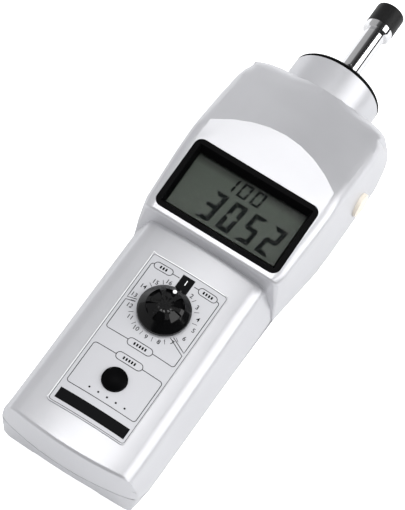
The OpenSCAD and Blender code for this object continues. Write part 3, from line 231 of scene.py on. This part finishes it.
FINISHES = {
    "front_case": paint, "rear_case": rear_paint, "nose_sleeve": paint, "nose_cap": black,
    "battery_cover": rear_paint, "case_screws": blackened, "display_bezel": black, "window_lens": window,
    "lcd_panel": lcd, "lcd_holder": white, "zebra_strips": elastomer, "display_board": green,
    "faceplate_label": film, "selector_knob": knob_black, "knob_dot": white_dot, "switch_shaft": aluminium,
    "selector_switch": switch_black, "memory_button": black, "memory_switch": switch_black,
    "measure_button": ivory, "measure_switch": switch_black, "switch_board": green, "main_board": green,
    "board_chips": chips, "board_screws": steel, "sensor_board": green, "photo_interrupter": switch_black,
    "batteries": jacket, "battery_springs": steel, "battery_contacts": steel, "bearing_housing": aluminium,
    "housing_screws": blackened, "bearing_outer_rings": bearing, "bearing_balls": bearing,
    "bearing_inner_rings": bearing, "bearing_spacer": brass, "spindle": steel, "retaining_ring": blackened,
    "encoder_disc": blackened, "disc_hub": aluminium, "adaptor_sleeve": chrome, "rubber_tip": rubber,
}
for name, obj in nodes.items():
    obj.data.materials.clear()
    obj.data.materials.append(FINISHES[name])


def add(name, mesh, material, body):
    """New piece that rides on a body, with the material it is given."""
    obj = bpy.data.objects.new(name, mesh)
    scene.collection.objects.link(obj)
    obj.data.materials.clear()
    obj.data.materials.append(material)
    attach(obj, body)
    return obj


# Printing: flat shapes in millimetres, laid on the surface of a CAD node

# Height from which a surface is looked for, and the ink's thickness
ABOVE_ALL, INK_T = 60 * MM, 0.03
# Longest straight part of a ribbon, and the width of a filled field's columns
STROKE_STEP, FIELD_STEP = 1.2, 1.5
# Shares of a number's size: how much bolder its outline is, and the distance at which points are merged
NUMBER_BOLDER, NUMBER_WELD = 0.008, 0.001


def height_finder(node):
    """Function that gives the height of a node's upper side at x, y, or None beside it."""
    bm = bmesh.new()
    bm.from_mesh(nodes[node].data)
    tree = BVHTree.FromBMesh(bm)
    bm.free()

    def height(x, y):
        hit = tree.ray_cast(Vector((x * MM, y * MM, ABOVE_ALL)), Vector((0, 0, -1)))
        return None if hit[0] is None else hit[0].z

    return height


label_height, lcd_height = height_finder("faceplate_label"), height_finder("lcd_panel")
label_low, label_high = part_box("faceplate_label")
lcd_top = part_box("lcd_panel")[1][2]


def on_label(x, y, lift):
    """Height of the printing at x, y; beside the label, the label's highest point."""
    z = label_height(x, y)
    return label_high[2] if z is None or z <= label_low[2] else z + lift * MM


def on_lcd(x, y, lift):
    """Height of the digits at x, y; beside the glass, as over its top."""
    z = lcd_height(x, y)
    return (lcd_top if z is None else z) + lift * MM


class Print:
    """Flat printing: thin solids whose upper side follows the surface below."""

    def __init__(self, height):
        self.verts, self.faces, self.height = [], [], height

    def point(self, x, y, lift):
        self.verts.append((x * MM, y * MM, self.height(x, y, lift)))

    def polygon(self, points):
        n, k = len(points), len(self.verts)
        for lift in (0, INK_T):
            for x, y in points:
                self.point(x, y, lift)
        self.faces.append([k + i for i in range(n)][::-1])
        self.faces.append([k + n + i for i in range(n)])
        for i in range(n):
            j = (i + 1) % n
            self.faces.append([k + i, k + j, k + n + j, k + n + i])

    def stroke(self, points, width, closed=False):
        """Ribbon along a polyline, split so that it follows the crown."""
        path = []
        count = len(points)
        for i in range(count if closed else count - 1):
            start, end = Vector(points[i]), Vector(points[(i + 1) % count])
            parts = max(1, int((end - start).length / STROKE_STEP))
            path += [start.lerp(end, s / parts) for s in range(parts)]
        if not closed:
            path.append(Vector(points[-1]))
        n, k = len(path), len(self.verts)
        for i, p in enumerate(path):
            before = path[(i - 1) % n] if closed or i > 0 else p
            after = path[(i + 1) % n] if closed or i < n - 1 else p
            along = (after - before).normalized()
            side = Vector((-along.y, along.x)) * width / 2
            for q, lift in ((p + side, 0), (p - side, 0), (p - side, INK_T), (p + side, INK_T)):
                self.point(q.x, q.y, lift)
        for i in range(n if closed else n - 1):
            a, b = k + 4 * i, k + 4 * ((i + 1) % n)
            for c in range(4):
                d = (c + 1) % 4
                self.faces.append([a + c, a + d, b + d, b + c])
        if not closed:
            self.faces.append([k + 3, k + 2, k + 1, k])
            last = k + 4 * (n - 1)
            self.faces.append([last, last + 1, last + 2, last + 3])

    def field(self, left, low, right, top):
        """Wide filled rectangle in narrow columns, so that it follows the crown."""
        n = max(1, round((right - left) / FIELD_STEP))
        for i in range(n):
            a, b = left + (right - left) * i / n, left + (right - left) * (i + 1) / n
            self.polygon([(a, low), (b, low), (b, top), (a, top)])

    def number(self, text, size, at, base=0.0):
        """Plain number, with its middle at a point."""
        verts, faces = number_outline(text, size)
        k = len(self.verts)
        for x, y in verts:
            self.point(at[0] + x, at[1] + y, base + INK_T)
        self.faces += [[k + i for i in f] for f in faces]

    def add(self, name, material, slot):
        mesh = bpy.data.meshes.new(name)
        mesh.from_pydata(self.verts, [], self.faces)
        bm = bmesh.new()
        bm.from_mesh(mesh)
        bmesh.ops.recalc_face_normals(bm, faces=bm.faces)
        bmesh.ops.triangulate(bm, faces=[f for f in bm.faces if len(f.verts) > 4])
        bm.to_mesh(mesh)
        bm.free()
        add(name, mesh, material, "housing")


def number_outline(text, size):
    """Points and faces of a plain printed number, centred on its own middle."""
    curve = bpy.data.curves.new("number", "FONT")
    curve.body = text
    curve.size = size
    curve.offset = NUMBER_BOLDER * size
    curve.align_x = "CENTER"
    curve.resolution_u = 3
    holder = bpy.data.objects.new("number", curve)
    scene.collection.objects.link(holder)
    bpy.context.view_layer.update()
    bm = bmesh.new()
    bm.from_mesh(holder.evaluated_get(bpy.context.evaluated_depsgraph_get()).to_mesh())
    bmesh.ops.remove_doubles(bm, verts=bm.verts, dist=size * NUMBER_WELD)
    heights = [v.co.y for v in bm.verts]
    half_way = (min(heights) + max(heights)) / 2
    verts = [(v.co.x, v.co.y - half_way) for v in bm.verts]
    faces = [[v.index for v in f.verts] for f in bm.faces]
    bm.free()
    bpy.data.objects.remove(holder)
    bpy.data.curves.remove(curve)
    return verts, faces


def arc(cx, cy, r, start, end, steps=6):
    turns = [math.radians(start + (end - start) * i / steps) for i in range(steps + 1)]
    return [(cx + r * math.cos(a), cy + r * math.sin(a)) for a in turns]


def rounded(left, low, right, top, r, steps=5):
    """Outline of a rectangle with rounded corners, anticlockwise."""
    corners = ((right - r, low + r, -90), (right - r, top - r, 0), (left + r, top - r, 90),
               (left + r, low + r, 180))
    return [p for cx, cy, start in corners for p in arc(cx, cy, r, start, start + 90, steps)]


# Faceplate: two framed fields with capsules for their headings, ticks, numbers and two black fields

LINE, THIN_LINE = 0.24, 0.16
dark, pale = Print(on_label), Print(on_label)
knob_x, knob_y = middle("selector_knob")[:2]
film_left, film_foot, film_right, film_top = [v / MM for v in (*label_low[:2], *label_high[:2])]

# Painted shadow: a dark line round the label's edge, where the film sits in a shallow recess, with its
# distance from each side
EDGE_SHADOW_IN, EDGE_SHADOW_IN_RIGHT, EDGE_SHADOW_R = 0.5, 0.35, 1.0
dark.stroke(rounded(film_left + EDGE_SHADOW_IN, film_foot + EDGE_SHADOW_IN, film_right - EDGE_SHADOW_IN_RIGHT,
                    film_top - EDGE_SHADOW_IN, EDGE_SHADOW_R), THIN_LINE, True)

# Selector's field: its frame opens at the capsules and the black field, and turns in to the ring of numbers
UPPER_LEFT, UPPER_RIGHT, UPPER_TOP, UPPER_FOOT = -13.1, 13.4, -14.2, -42.6
UPPER_TOP_R, UPPER_FOOT_R = 0.9, 1.0
top_left = arc(UPPER_LEFT + UPPER_TOP_R, UPPER_TOP - UPPER_TOP_R, UPPER_TOP_R, 90, 180)
top_right = arc(UPPER_RIGHT - UPPER_TOP_R, UPPER_TOP - UPPER_TOP_R, UPPER_TOP_R, 90, 0)
foot_left = arc(UPPER_LEFT + UPPER_FOOT_R, UPPER_FOOT + UPPER_FOOT_R, UPPER_FOOT_R, 180, 270)
foot_right = arc(UPPER_RIGHT - UPPER_FOOT_R, UPPER_FOOT + UPPER_FOOT_R, UPPER_FOOT_R, 270, 360)
for line in (
        [(-12.2, UPPER_TOP)] + top_left + [(UPPER_LEFT, -29.5), (-9.9, -28.7)],
        [(-5.1, UPPER_TOP), (-2.4, UPPER_TOP)],
        [(3.4, UPPER_TOP), (5.2, UPPER_TOP)],
        [(12.2, UPPER_TOP)] + top_right + [(UPPER_RIGHT, -36.3), (7.6, -33.6)],
        [(-9.9, -29.7), (UPPER_LEFT, -30.5)] + foot_left + [(-4.4, UPPER_FOOT)],
        [(5.2, UPPER_FOOT)] + foot_right + [(UPPER_RIGHT, -37.5), (6.8, -34.3)]):
    dark.stroke(line, LINE)

# Memory button's field: its frame opens at its capsule
LOWER_LEFT, LOWER_RIGHT, LOWER_TOP, LOWER_FOOT, LOWER_R = -13.0, 13.5, -49.2, -66.2, 1.1
inner_left, inner_right = LOWER_LEFT + LOWER_R, LOWER_RIGHT - LOWER_R
inner_top, inner_foot = LOWER_TOP - LOWER_R, LOWER_FOOT + LOWER_R
dark.stroke([(-4.7, LOWER_TOP)] + arc(inner_left, inner_top, LOWER_R, 90, 180)
            + arc(inner_left, inner_foot, LOWER_R, 180, 270) + arc(inner_right, inner_foot, LOWER_R, 270, 360)
            + arc(inner_right, inner_top, LOWER_R, 0, 90) + [(5.4, LOWER_TOP)], LINE)

# Capsules, each with its middle, size and number of short dashes
CAPSULES = ((-8.65, UPPER_TOP, 7.0, 2.6, 3), (8.7, UPPER_TOP, 7.0, 2.6, 4), (0.4, -42.8, 9.4, 2.9, 5),
            (0.35, -49.1, 10.0, 2.9, 5))
CAPSULE_FLAT, CAPSULE_STEPS = 0.01, 6
DASH_PITCH, DASH_HALF_W, DASH_HALF_H, DASH_R, DASH_STEPS = 1.05, 0.3, 0.55, 0.12, 2
for x, y, width, height, dashes in CAPSULES:
    dark.stroke(rounded(x - width / 2, y - height / 2, x + width / 2, y + height / 2,
                        height / 2 - CAPSULE_FLAT, CAPSULE_STEPS), LINE, True)
    for i in range(dashes):
        mid = x + (i - (dashes - 1) / 2) * DASH_PITCH
        dark.polygon(rounded(mid - DASH_HALF_W, y - DASH_HALF_H, mid + DASH_HALF_W, y + DASH_HALF_H,
                             DASH_R, DASH_STEPS))

# Plain numbers at the selector's positions, and ticks between them but where the frame or black field is
POSITIONS = 16
TICK_FROM, TICK_TO, NO_TICK = 10.0, 11.7, (0, 4, 12, 15)
NUMBER_SIZE, NUMBER_RX, NUMBER_RY = 2.3, 11.6, 11.0
for i in range(POSITIONS):
    if i not in NO_TICK:
        a = math.radians(90 - 360 / POSITIONS * (i + 0.5))
        dark.stroke([(knob_x + r * math.cos(a), knob_y + r * math.sin(a)) for r in (TICK_FROM, TICK_TO)],
                    THIN_LINE)
    if i:
        a = math.radians(90 - 360 / POSITIONS * i)
        at = (knob_x + NUMBER_RX * math.cos(a), knob_y + NUMBER_RY * math.sin(a))
        dark.number(str(i + 1), NUMBER_SIZE, at)

# Black field with the first position's number, a row of dots, and the bare black bar
FIRST_FIELD, FIRST_NUMBER_AT, FIRST_NUMBER_SIZE = (-2.0, -18.6, 2.7, -12.3), (0.4, -14.6), 2.8
DOTS, DOT_X, DOT_PITCH, DOT_HALF, DOT_FOOT, DOT_TOP = 5, -5.4, 3.4, 0.35, -64.4, -63.7
DOT_CORNER, DOT_STEPS = 0.3, 4
BAR = (-13.0, -73.2, 13.6, -69.0)
dark.field(*FIRST_FIELD)
pale.number("1", FIRST_NUMBER_SIZE, FIRST_NUMBER_AT, INK_T)
dark.field(*BAR)
for i in range(DOTS):
    x = DOT_X + DOT_PITCH * i
    dark.polygon(rounded(x - DOT_HALF, DOT_FOOT, x + DOT_HALF, DOT_TOP, DOT_CORNER, DOT_STEPS))

# Painted highlight: a pale line along the film's left and top sides, where the light catches its edge
EDGE_IN, EDGE_FOOT, EDGE_RIGHT, EDGE_W = 0.12, 0.4, 0.4, 0.24
pale.stroke([(film_left + EDGE_IN, film_foot + EDGE_FOOT), (film_left + EDGE_IN, film_top - EDGE_IN),
             (film_right - EDGE_RIGHT, film_top - EDGE_IN)], EDGE_W)
# Dark mesh: the printing and the painted edge shadow; pale mesh: the white number and the painted edge
# highlight
dark.add("label_dark_print_and_edge_shadow", label_ink_and_edge_shadow, "label_film")
pale.add("label_pale_print_and_edge_highlight", white_print_and_edge_highlight, "label_film")

# Display: slanted seven-segment digits and a small row above them, on the liquid crystal glass

SEGMENTS = {"0": "abcdef", "1": "bc", "2": "abged", "3": "abgcd", "5": "afgcd"}
SLANT = 0.125
GAP_SHARE = 0.04


def seven(printing, char, x, y, width, height, t):
    """One seven-segment digit of stroke t, whose foot is centred at x, y."""
    gap, half, a, h = t * GAP_SHARE, height / 2, width / 2, height
    shapes = {
        "a": [(-a + gap, h), (a - gap, h), (a - gap - t, h - t), (-a + gap + t, h - t)],
        "b": [(a, h - gap), (a - t, h - gap - t), (a - t, half + gap + t / 2), (a, half + gap)],
        "c": [(a, half - gap), (a - t, half - gap - t / 2), (a - t, gap + t), (a, gap)],
        "d": [(-a + gap, 0), (-a + gap + t, t), (a - gap - t, t), (a - gap, 0)],
        "e": [(-a, half - gap), (-a, gap), (-a + t, gap + t), (-a + t, half - gap - t / 2)],
        "f": [(-a, h - gap), (-a, half + gap), (-a + t, half + gap + t / 2), (-a + t, h - gap - t)],
        "g": [(-a + gap, half), (-a + gap + t / 2, half + t / 2), (a - gap - t / 2, half + t / 2),
              (a - gap, half), (a - gap - t / 2, half - t / 2), (-a + gap + t / 2, half - t / 2)],
    }
    for s in SEGMENTS[char]:
        printing.polygon([(x + px + py * SLANT, y + py) for px, py in shapes[s]])


# Each row's digits, first middle, pitch, foot from the glass's middle, width, height and stroke
DIGIT_ROWS = (("3052", -8.2, 7.75, -9.3, 5.1, 11.7, 1.65), ("100", -6.6, 5.2, 4.1, 3.6, 5.8, 0.8))
digits = Print(on_lcd)
lcd_middle = middle("lcd_panel")[1]
for text, first, pitch, foot, width, height, t in DIGIT_ROWS:
    for i, char in enumerate(text):
        seven(digits, char, first + pitch * i, lcd_middle + foot, width, height, t)
digits.add("lcd_digits", lcd_ink, "lcd_glass")

# Case halves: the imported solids, cut finer at the far end, with squarer corners and smooth shading

# Far corners: where each starts, its radii, the power of its outline (2 is round, more is squarer), and the
# share of its radius that stays as it is
FAR_Y, FAR_RX, FAR_RY, FAR_POWER, FAR_CORE = 56.5, 16.0, 25.5, 3.4, 0.6
far_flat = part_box("front_case")[1][0] / MM - FAR_RX
# Bottom corners, likewise, with where each starts from the middle line and from the bottom end
FOOT_FLAT, FOOT_IN, FOOT_R, FOOT_POWER, FOOT_CORE = 21.0, 9.4, 6.0, 4.0, 0.5
foot_y = cad_low[1] / MM + FOOT_IN
# Share of a corner's radius over which its outline turns from round to square
CORNER_EASE = 0.3
# End wall: how far it is drawn back, how much of that changes over its upper part and towards its sides
END_BACK, END_BACK_TOP, END_BACK_SIDE = 2.0, -1.0, 3.3
# Where its upper part starts, the lengths over which each change eases in, and where the drawing back starts
END_TOP_Z, END_TOP_EASE, END_SIDE_EASE, END_Y, END_EASE = 16, 9, 12, 64, 14
# Joint line: the gap, the heights between which the front half's rim lies, and the slopes of a face that
# looks down and of a wall that stands
SEAM, RIM_LOW, RIM_HIGH, FACES_DOWN, STANDS = 0.22, 9, 19, -0.9, 0.5
# Shading: the angle of an edge that stays sharp, and how much large faces count
SHARP, FACE_WEIGHT = math.radians(32), 80
# Crest: slope of the plane round the display, and how its edge with the hood is told from other edges
FACET_SLOPE, CREST_FROM_Y = math.radians(4.6), 33
FACET_MATCH, CREST_ANGLE = math.radians(2), math.radians(8)
FACET_NORMAL = Vector((0, -math.sin(FACET_SLOPE), math.cos(FACET_SLOPE)))
# Planes that cut the far end finer, each row with its start, end and step
CUT_FROM_Y, CUTS_Y, CUTS_X, CUTS_Z, NO_CUT_X = 50, (52, 82, 2), (-30, 31, 2), (4, 40, 4), 11
# Part of the far end that is rounded off, and the nose's hole, which stays as it is
RELAX_Y, RELAX_Z, RELAX_ROUNDS, RELAX_SHARE = 54, 5, 10, 0.5
NOSE_Y, NOSE_R = 60, 18.0
nose_z = middle("nose_sleeve")[2]
WELD, CUT_SNAP = 0.01 * MM, 0.02 * MM


def smoothstep(t):
    t = min(max(t, 0.0), 1.0)
    return t * t * (3 - 2 * t)


def squarer(u, w, power, core):
    """Factor that takes a point of a round corner out to a squarer one; u and w are shares of its radii."""
    rho = math.hypot(u, w)
    square = ((u / rho) ** power + (w / rho) ** power) ** (-1 / power)
    return 1 + (square - 1) * smoothstep((rho - core) / CORNER_EASE)


def new_place(co):
    """New place of a shell point: all four corners squarer in plan, and the end wall drawn back."""
    x, y, z = co / MM
    u, w = (abs(x) - far_flat) / FAR_RX, (y - FAR_Y) / FAR_RY
    if u > 0 and w > 0:
        k = squarer(u, w, FAR_POWER, FAR_CORE)
        x, y = math.copysign(far_flat + FAR_RX * u * k, x), FAR_Y + FAR_RY * w * k
    top = smoothstep((z - END_TOP_Z) / END_TOP_EASE)
    back = END_BACK + top * (END_BACK_TOP + END_BACK_SIDE * smoothstep(abs(x) / END_SIDE_EASE))
    y -= back * smoothstep((y - END_Y) / END_EASE)
    u, w = (abs(x) - FOOT_FLAT) / FOOT_R, (foot_y - y) / FOOT_R
    if u > 0 and w > 0:
        k = squarer(u, w, FOOT_POWER, FOOT_CORE)
        x, y = math.copysign(FOOT_FLAT + FOOT_R * u * k, x), foot_y - FOOT_R * w * k
    return Vector((x, y, z)) * MM


def open_seam(bm):
    """The front half's rim rises a little, so that the joint line shows."""
    downward = [f for f in bm.faces if f.normal.z < FACES_DOWN]
    for v in {v for f in downward for v in f.verts if RIM_LOW * MM < v.co.z < RIM_HIGH * MM}:
        if any(abs(f.normal.z) < STANDS for f in v.link_faces):
            v.co.z += SEAM * MM


def relaxes(co):
    """Whether a point lies in the part of the far end that is rounded off."""
    x, y, z = co / MM
    return y > RELAX_Y and z > RELAX_Z and not (y > NOSE_Y and math.hypot(x, z - nose_z) < NOSE_R)


def relax(bm):
    """Round off the ridges between the loft's facets: sharp lines stay lines, and their ends stay put."""
    moving = []
    for v in bm.verts:
        if not relaxes(v.co):
            continue
        sharp = [e for e in v.link_edges if not e.smooth]
        if len(sharp) in (0, 2):
            moving.append((v, [e.other_vert(v) for e in sharp or v.link_edges]))
    for _ in range(RELAX_ROUNDS):
        places = [sum((w.co for w in ring), Vector()) / len(ring) for v, ring in moving]
        for (v, ring), place in zip(moving, places):
            v.co = v.co.lerp(place, RELAX_SHARE)


def mark_sharp(bm, angle, also=lambda e: False):
    """Smooth shading but at edges sharper than angle, and where also says so."""
    bm.normal_update()
    for f in bm.faces:
        f.smooth = True
    for e in bm.edges:
        e.smooth = not (e.is_boundary or e.calc_face_angle(0) > angle or also(e))


def at_crest(e):
    """The line where the plane round the display meets the crowned hood."""
    if len(e.link_faces) != 2 or min(v.co.y for v in e.verts) < CREST_FROM_Y * MM:
        return False
    near = [f.normal.angle(FACET_NORMAL, 1.0) < FACET_MATCH for f in e.link_faces]
    return near[0] != near[1] and e.calc_face_angle(0) > CREST_ANGLE


def stand_in(name, bm, material, body, node):
    """New piece from bm in place of a CAD node; its large faces stay flat in the shading."""
    mesh = bpy.data.meshes.new(name)
    bm.to_mesh(mesh)
    bm.free()
    piece = add(name, mesh, material, body)
    modifier = piece.modifiers.new("weighted_normals", "WEIGHTED_NORMAL")
    modifier.keep_sharp = True
    modifier.weight = FACE_WEIGHT
    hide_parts(node)


def case_half(name, node, material):
    bm = bmesh.new()
    bm.from_mesh(nodes[node].data)
    bmesh.ops.remove_doubles(bm, verts=bm.verts, dist=WELD)
    planes = [((0, y * MM, 0), (0, 1, 0)) for y in range(*CUTS_Y)]
    planes += [((x * MM, 0, 0), (1, 0, 0)) for x in range(*CUTS_X) if abs(x) > NO_CUT_X]
    planes += [((0, 0, z * MM), (0, 0, 1)) for z in range(*CUTS_Z)]
    for place, normal in planes:
        faces = [f for f in bm.faces if max(v.co.y for v in f.verts) > CUT_FROM_Y * MM]
        edges = {e for f in faces for e in f.edges}
        verts = {v for f in faces for v in f.verts}
        bmesh.ops.bisect_plane(bm, geom=list(verts) + list(edges) + faces, plane_co=place, plane_no=normal,
                               dist=CUT_SNAP)
    mark_sharp(bm, SHARP, at_crest)
    if node == "front_case":
        open_seam(bm)
    for v in bm.verts:
        v.co = new_place(v.co)
    relax(bm)
    stand_in(name, bm, material, "housing", node)


case_half("front_shell", "front_case", paint)
case_half("rear_shell", "rear_case", rear_paint)

# Selector knob: a round skirt with a sloping band, and shallow wedge facets cut in its top

# Facets: how many, the first one's angle and slope; start and end radius, half angle, side wall's angle and
# columns to each half
FACETS, FACET_TURN, FACET_TILT = 6, -20.0, math.tan(math.radians(25))
FACET_FROM, FACET_TO, FACET_HALF, FACET_WALL, FACET_COLUMNS = 2.8, 6.2, 18.0, 2.5, 4
# Outline without the facets: radius, and height from the top
knob_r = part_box("selector_knob")[1][0] / MM - knob_x
KNOB_OUTLINE = ((0.0, 0.0), (5.4, 0.0), (6.6, -0.9), (8.9, -3.2), (knob_r, -3.6))
KNOB_RADII = (0.9, 1.8, 2.8, 3.6, 4.4, 5.0, 5.4, 5.8, FACET_TO, FACET_TO + 0.25, 6.6, 7.4, 8.2, 8.9, knob_r)
KNOB_SHARP = math.radians(24)
# Seat of the white dot: its radius, and the depth below the knob's top that it keeps
DOT_SEAT, DOT_SEAT_DEPTH = 1.0, -0.3
TOUCH = 0.01
dot_r = middle("knob_dot")[1] - knob_y


def knob_height(r, angle):
    """Height of the knob's upper side at a radius and angle, in millimetres from its top."""
    z = KNOB_OUTLINE[-1][1]
    for (r0, z0), (r1, z1) in zip(KNOB_OUTLINE, KNOB_OUTLINE[1:]):
        if r0 <= r <= r1:
            z = z0 + (z1 - z0) * (r - r0) / (r1 - r0)
            break
    half = 180 / FACETS
    off = abs((angle - FACET_TURN + half) % (2 * half) - half)
    cut = -FACET_TILT * (r * math.cos(math.radians(off)) - FACET_FROM)
    if r <= FACET_TO + TOUCH and off < FACET_HALF + TOUCH and cut < z:
        z = cut
    a = math.radians(angle)
    if math.hypot(r * math.cos(a), r * math.sin(a) - dot_r) < DOT_SEAT:
        z = max(z, DOT_SEAT_DEPTH)
    return z


def on_knob(r, angle, z):
    a = math.radians(angle)
    return knob_x + r * math.cos(a), knob_y + r * math.sin(a), z


def knob_body():
    """Revolved grid whose lines run along the facets' own edges."""
    low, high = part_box("selector_knob")
    top, foot = high[2] / MM, low[2] / MM
    steps = [-180 / FACETS, -FACET_HALF - FACET_WALL]
    steps += [FACET_HALF * i / FACET_COLUMNS for i in range(-FACET_COLUMNS, FACET_COLUMNS + 1)]
    steps += [FACET_HALF + FACET_WALL]
    angles = [FACET_TURN + 360 * k / FACETS + a for k in range(FACETS) for a in steps]
    rings = [[(r, a, top + knob_height(r, a)) for a in angles] for r in KNOB_RADII]
    rings.append([(knob_r, a, foot) for a in angles])
    bm = bmesh.new()
    centre = bm.verts.new(Vector(on_knob(0, 0, top)) * MM)
    grid = [[bm.verts.new(Vector(on_knob(*point)) * MM) for point in ring] for ring in rings]
    for j in range(len(angles)):
        n = (j + 1) % len(angles)
        bm.faces.new((centre, grid[0][j], grid[0][n]))
        for inner, outer in zip(grid, grid[1:]):
            bm.faces.new((inner[j], outer[j], outer[n], inner[n]))
    bm.faces.new(grid[-1][::-1])
    mark_sharp(bm, KNOB_SHARP)
    stand_in("knob_body", bm, knob_black, "selector", "selector_knob")


knob_body()

# Floor: pale paper that keeps the shadow, lifted a little towards white for the camera

FLOOR_HALF, FLOOR_GAP, FLOOR_LIFT, PAPER_SCALE, PAPER_DETAIL = 1.5, 0.2 * MM, 0.75, 8, 2


def make_floor():
    mesh = bpy.data.meshes.new("floor")
    corners = [(x * FLOOR_HALF, y * FLOOR_HALF, 0) for x, y in ((-1, -1), (1, -1), (1, 1), (-1, 1))]
    mesh.from_pydata(corners, [], [(0, 1, 2, 3)])
    floor = bpy.data.objects.new("floor", mesh)
    floor.location.z = cad_low[2] - FLOOR_GAP
    scene.collection.objects.link(floor)
    material, tree, shader = new_material("floor_paper", Roughness=0.9, Specular_IOR_Level=0.0)
    color_from(tree, shader, noise(tree, PAPER_SCALE, PAPER_DETAIL), (0.9, 0.9, 0.9), (0.92, 0.92, 0.92))
    glow = shader_node(tree, "ShaderNodeEmission", Color=(1, 1, 1, 1))
    lift = shader_node(tree, "ShaderNodeMath")
    lift.operation = "MULTIPLY"
    lift.inputs[1].default_value = FLOOR_LIFT
    tree.links.new(shader_node(tree, "ShaderNodeLightPath").outputs["Is Camera Ray"], lift.inputs[0])
    tree.links.new(lift.outputs["Value"], glow.inputs["Strength"])
    both = shader_node(tree, "ShaderNodeAddShader")
    tree.links.new(shader.outputs["BSDF"], both.inputs[0])
    tree.links.new(glow.outputs["Emission"], both.inputs[1])
    tree.links.new(both.outputs["Shader"], tree.nodes["Material Output"].inputs["Surface"])
    mesh.materials.append(material)


make_floor()

# World: white to the camera, soft grey to the object, and a studio of light and dark bands to its gloss

AMBIENT, AMBIENT_COLOR = 0.9, (0.97, 0.98, 1, 1)
# Bands round the tool's long axis: angle from straight up, and level
GLOSS_STOPS = ((-180, 0.8), (-110, 0.5), (-30, 0.4), (-20, 0.1), (8, 0.02), (14, 0.03), (112, 0.03),
               (122, 0.75), (180, 1.0))
GLOSS_BLUE = 1.01


def make_world():
    world = bpy.data.worlds.new("studio")
    scene.world = world
    world.use_nodes = True
    tree = world.node_tree
    tree.nodes.clear()
    link = tree.links.new
    seen = shader_node(tree, "ShaderNodeBackground", Color=(1, 1, 1, 1))
    light = shader_node(tree, "ShaderNodeBackground", Color=AMBIENT_COLOR, Strength=AMBIENT)
    gloss = shader_node(tree, "ShaderNodeBackground")
    split = shader_node(tree, "ShaderNodeSeparateXYZ")
    link(shader_node(tree, "ShaderNodeTexCoord").outputs["Generated"], split.inputs["Vector"])
    turn = shader_node(tree, "ShaderNodeMath")
    turn.operation = "ARCTAN2"
    link(split.outputs["X"], turn.inputs[0])
    link(split.outputs["Z"], turn.inputs[1])
    share = shader_node(tree, "ShaderNodeMapRange", From_Min=-math.pi, From_Max=math.pi)
    link(turn.outputs["Value"], share.inputs["Value"])
    bands = shader_node(tree, "ShaderNodeValToRGB")
    stops = bands.color_ramp.elements
    stops.remove(stops[-1])
    for angle, level in GLOSS_STOPS:
        place = (angle + 180) / 360
        stop = stops.new(place) if place else stops[0]
        stop.color = (level, level, min(1.0, level * GLOSS_BLUE), 1)
    link(share.outputs["Result"], bands.inputs["Fac"])
    link(bands.outputs["Color"], gloss.inputs["Color"])
    path = shader_node(tree, "ShaderNodeLightPath")
    to_object, to_all = [shader_node(tree, "ShaderNodeMixShader") for _ in range(2)]
    link(path.outputs["Is Glossy Ray"], to_object.inputs["Fac"])
    link(light.outputs["Background"], to_object.inputs[1])
    link(gloss.outputs["Background"], to_object.inputs[2])
    link(path.outputs["Is Camera Ray"], to_all.inputs["Fac"])
    link(to_object.outputs["Shader"], to_all.inputs[1])
    link(seen.outputs["Background"], to_all.inputs[2])
    link(to_all.outputs["Shader"], shader_node(tree, "ShaderNodeOutputWorld").inputs["Surface"])


make_world()

# Lamps: each one's place, width, height and power; both look at the middle of the tool
LAMP_TARGET = Vector((0, 0, 0.03))
LAMPS = (("softbox_right", (0.85, 0.45, 0.8), 0.75, 1.1, 7.0),
         ("softbox_top", (-0.1, 0.27, 1.08), 0.4, 0.22, 2.05))
for name, place, width, height, power in LAMPS:
    data = bpy.data.lights.new(name, "AREA")
    data.shape = "RECTANGLE"
    data.size = width
    data.size_y = height
    data.energy = power
    lamp = bpy.data.objects.new(name, data)
    lamp.location = place
    lamp.rotation_mode = "QUATERNION"
    lamp.rotation_quaternion = (LAMP_TARGET - Vector(place)).to_track_quat("-Z", "Y")
    scene.collection.objects.link(lamp)

# Camera, from the view solved for the photograph: focal length and picture width in pixels
FOCAL_PX, WIDTH_PX, SENSOR = 3000.0, 405.0, 36.0
CAMERA_AT = (0.16583696, -0.42835985, 0.91896566)
CAMERA_RIGHT = (0.84119264, 0.53187689, 0.09747772)
CAMERA_UP = (-0.51425216, 0.73116342, 0.44826864)
CAMERA_BACK = (0.16715159, -0.4272084, 0.88856813)
data = bpy.data.cameras.new("camera")
data.sensor_fit = "HORIZONTAL"
data.sensor_width = SENSOR
data.lens = SENSOR * FOCAL_PX / WIDTH_PX
data.clip_start, data.clip_end = 0.05, 20
camera = bpy.data.objects.new("camera", data)
scene.collection.objects.link(camera)
turn = Matrix((CAMERA_RIGHT, CAMERA_UP, CAMERA_BACK)).transposed().to_4x4()
camera.matrix_world = Matrix.Translation(CAMERA_AT) @ turn
scene.camera = camera
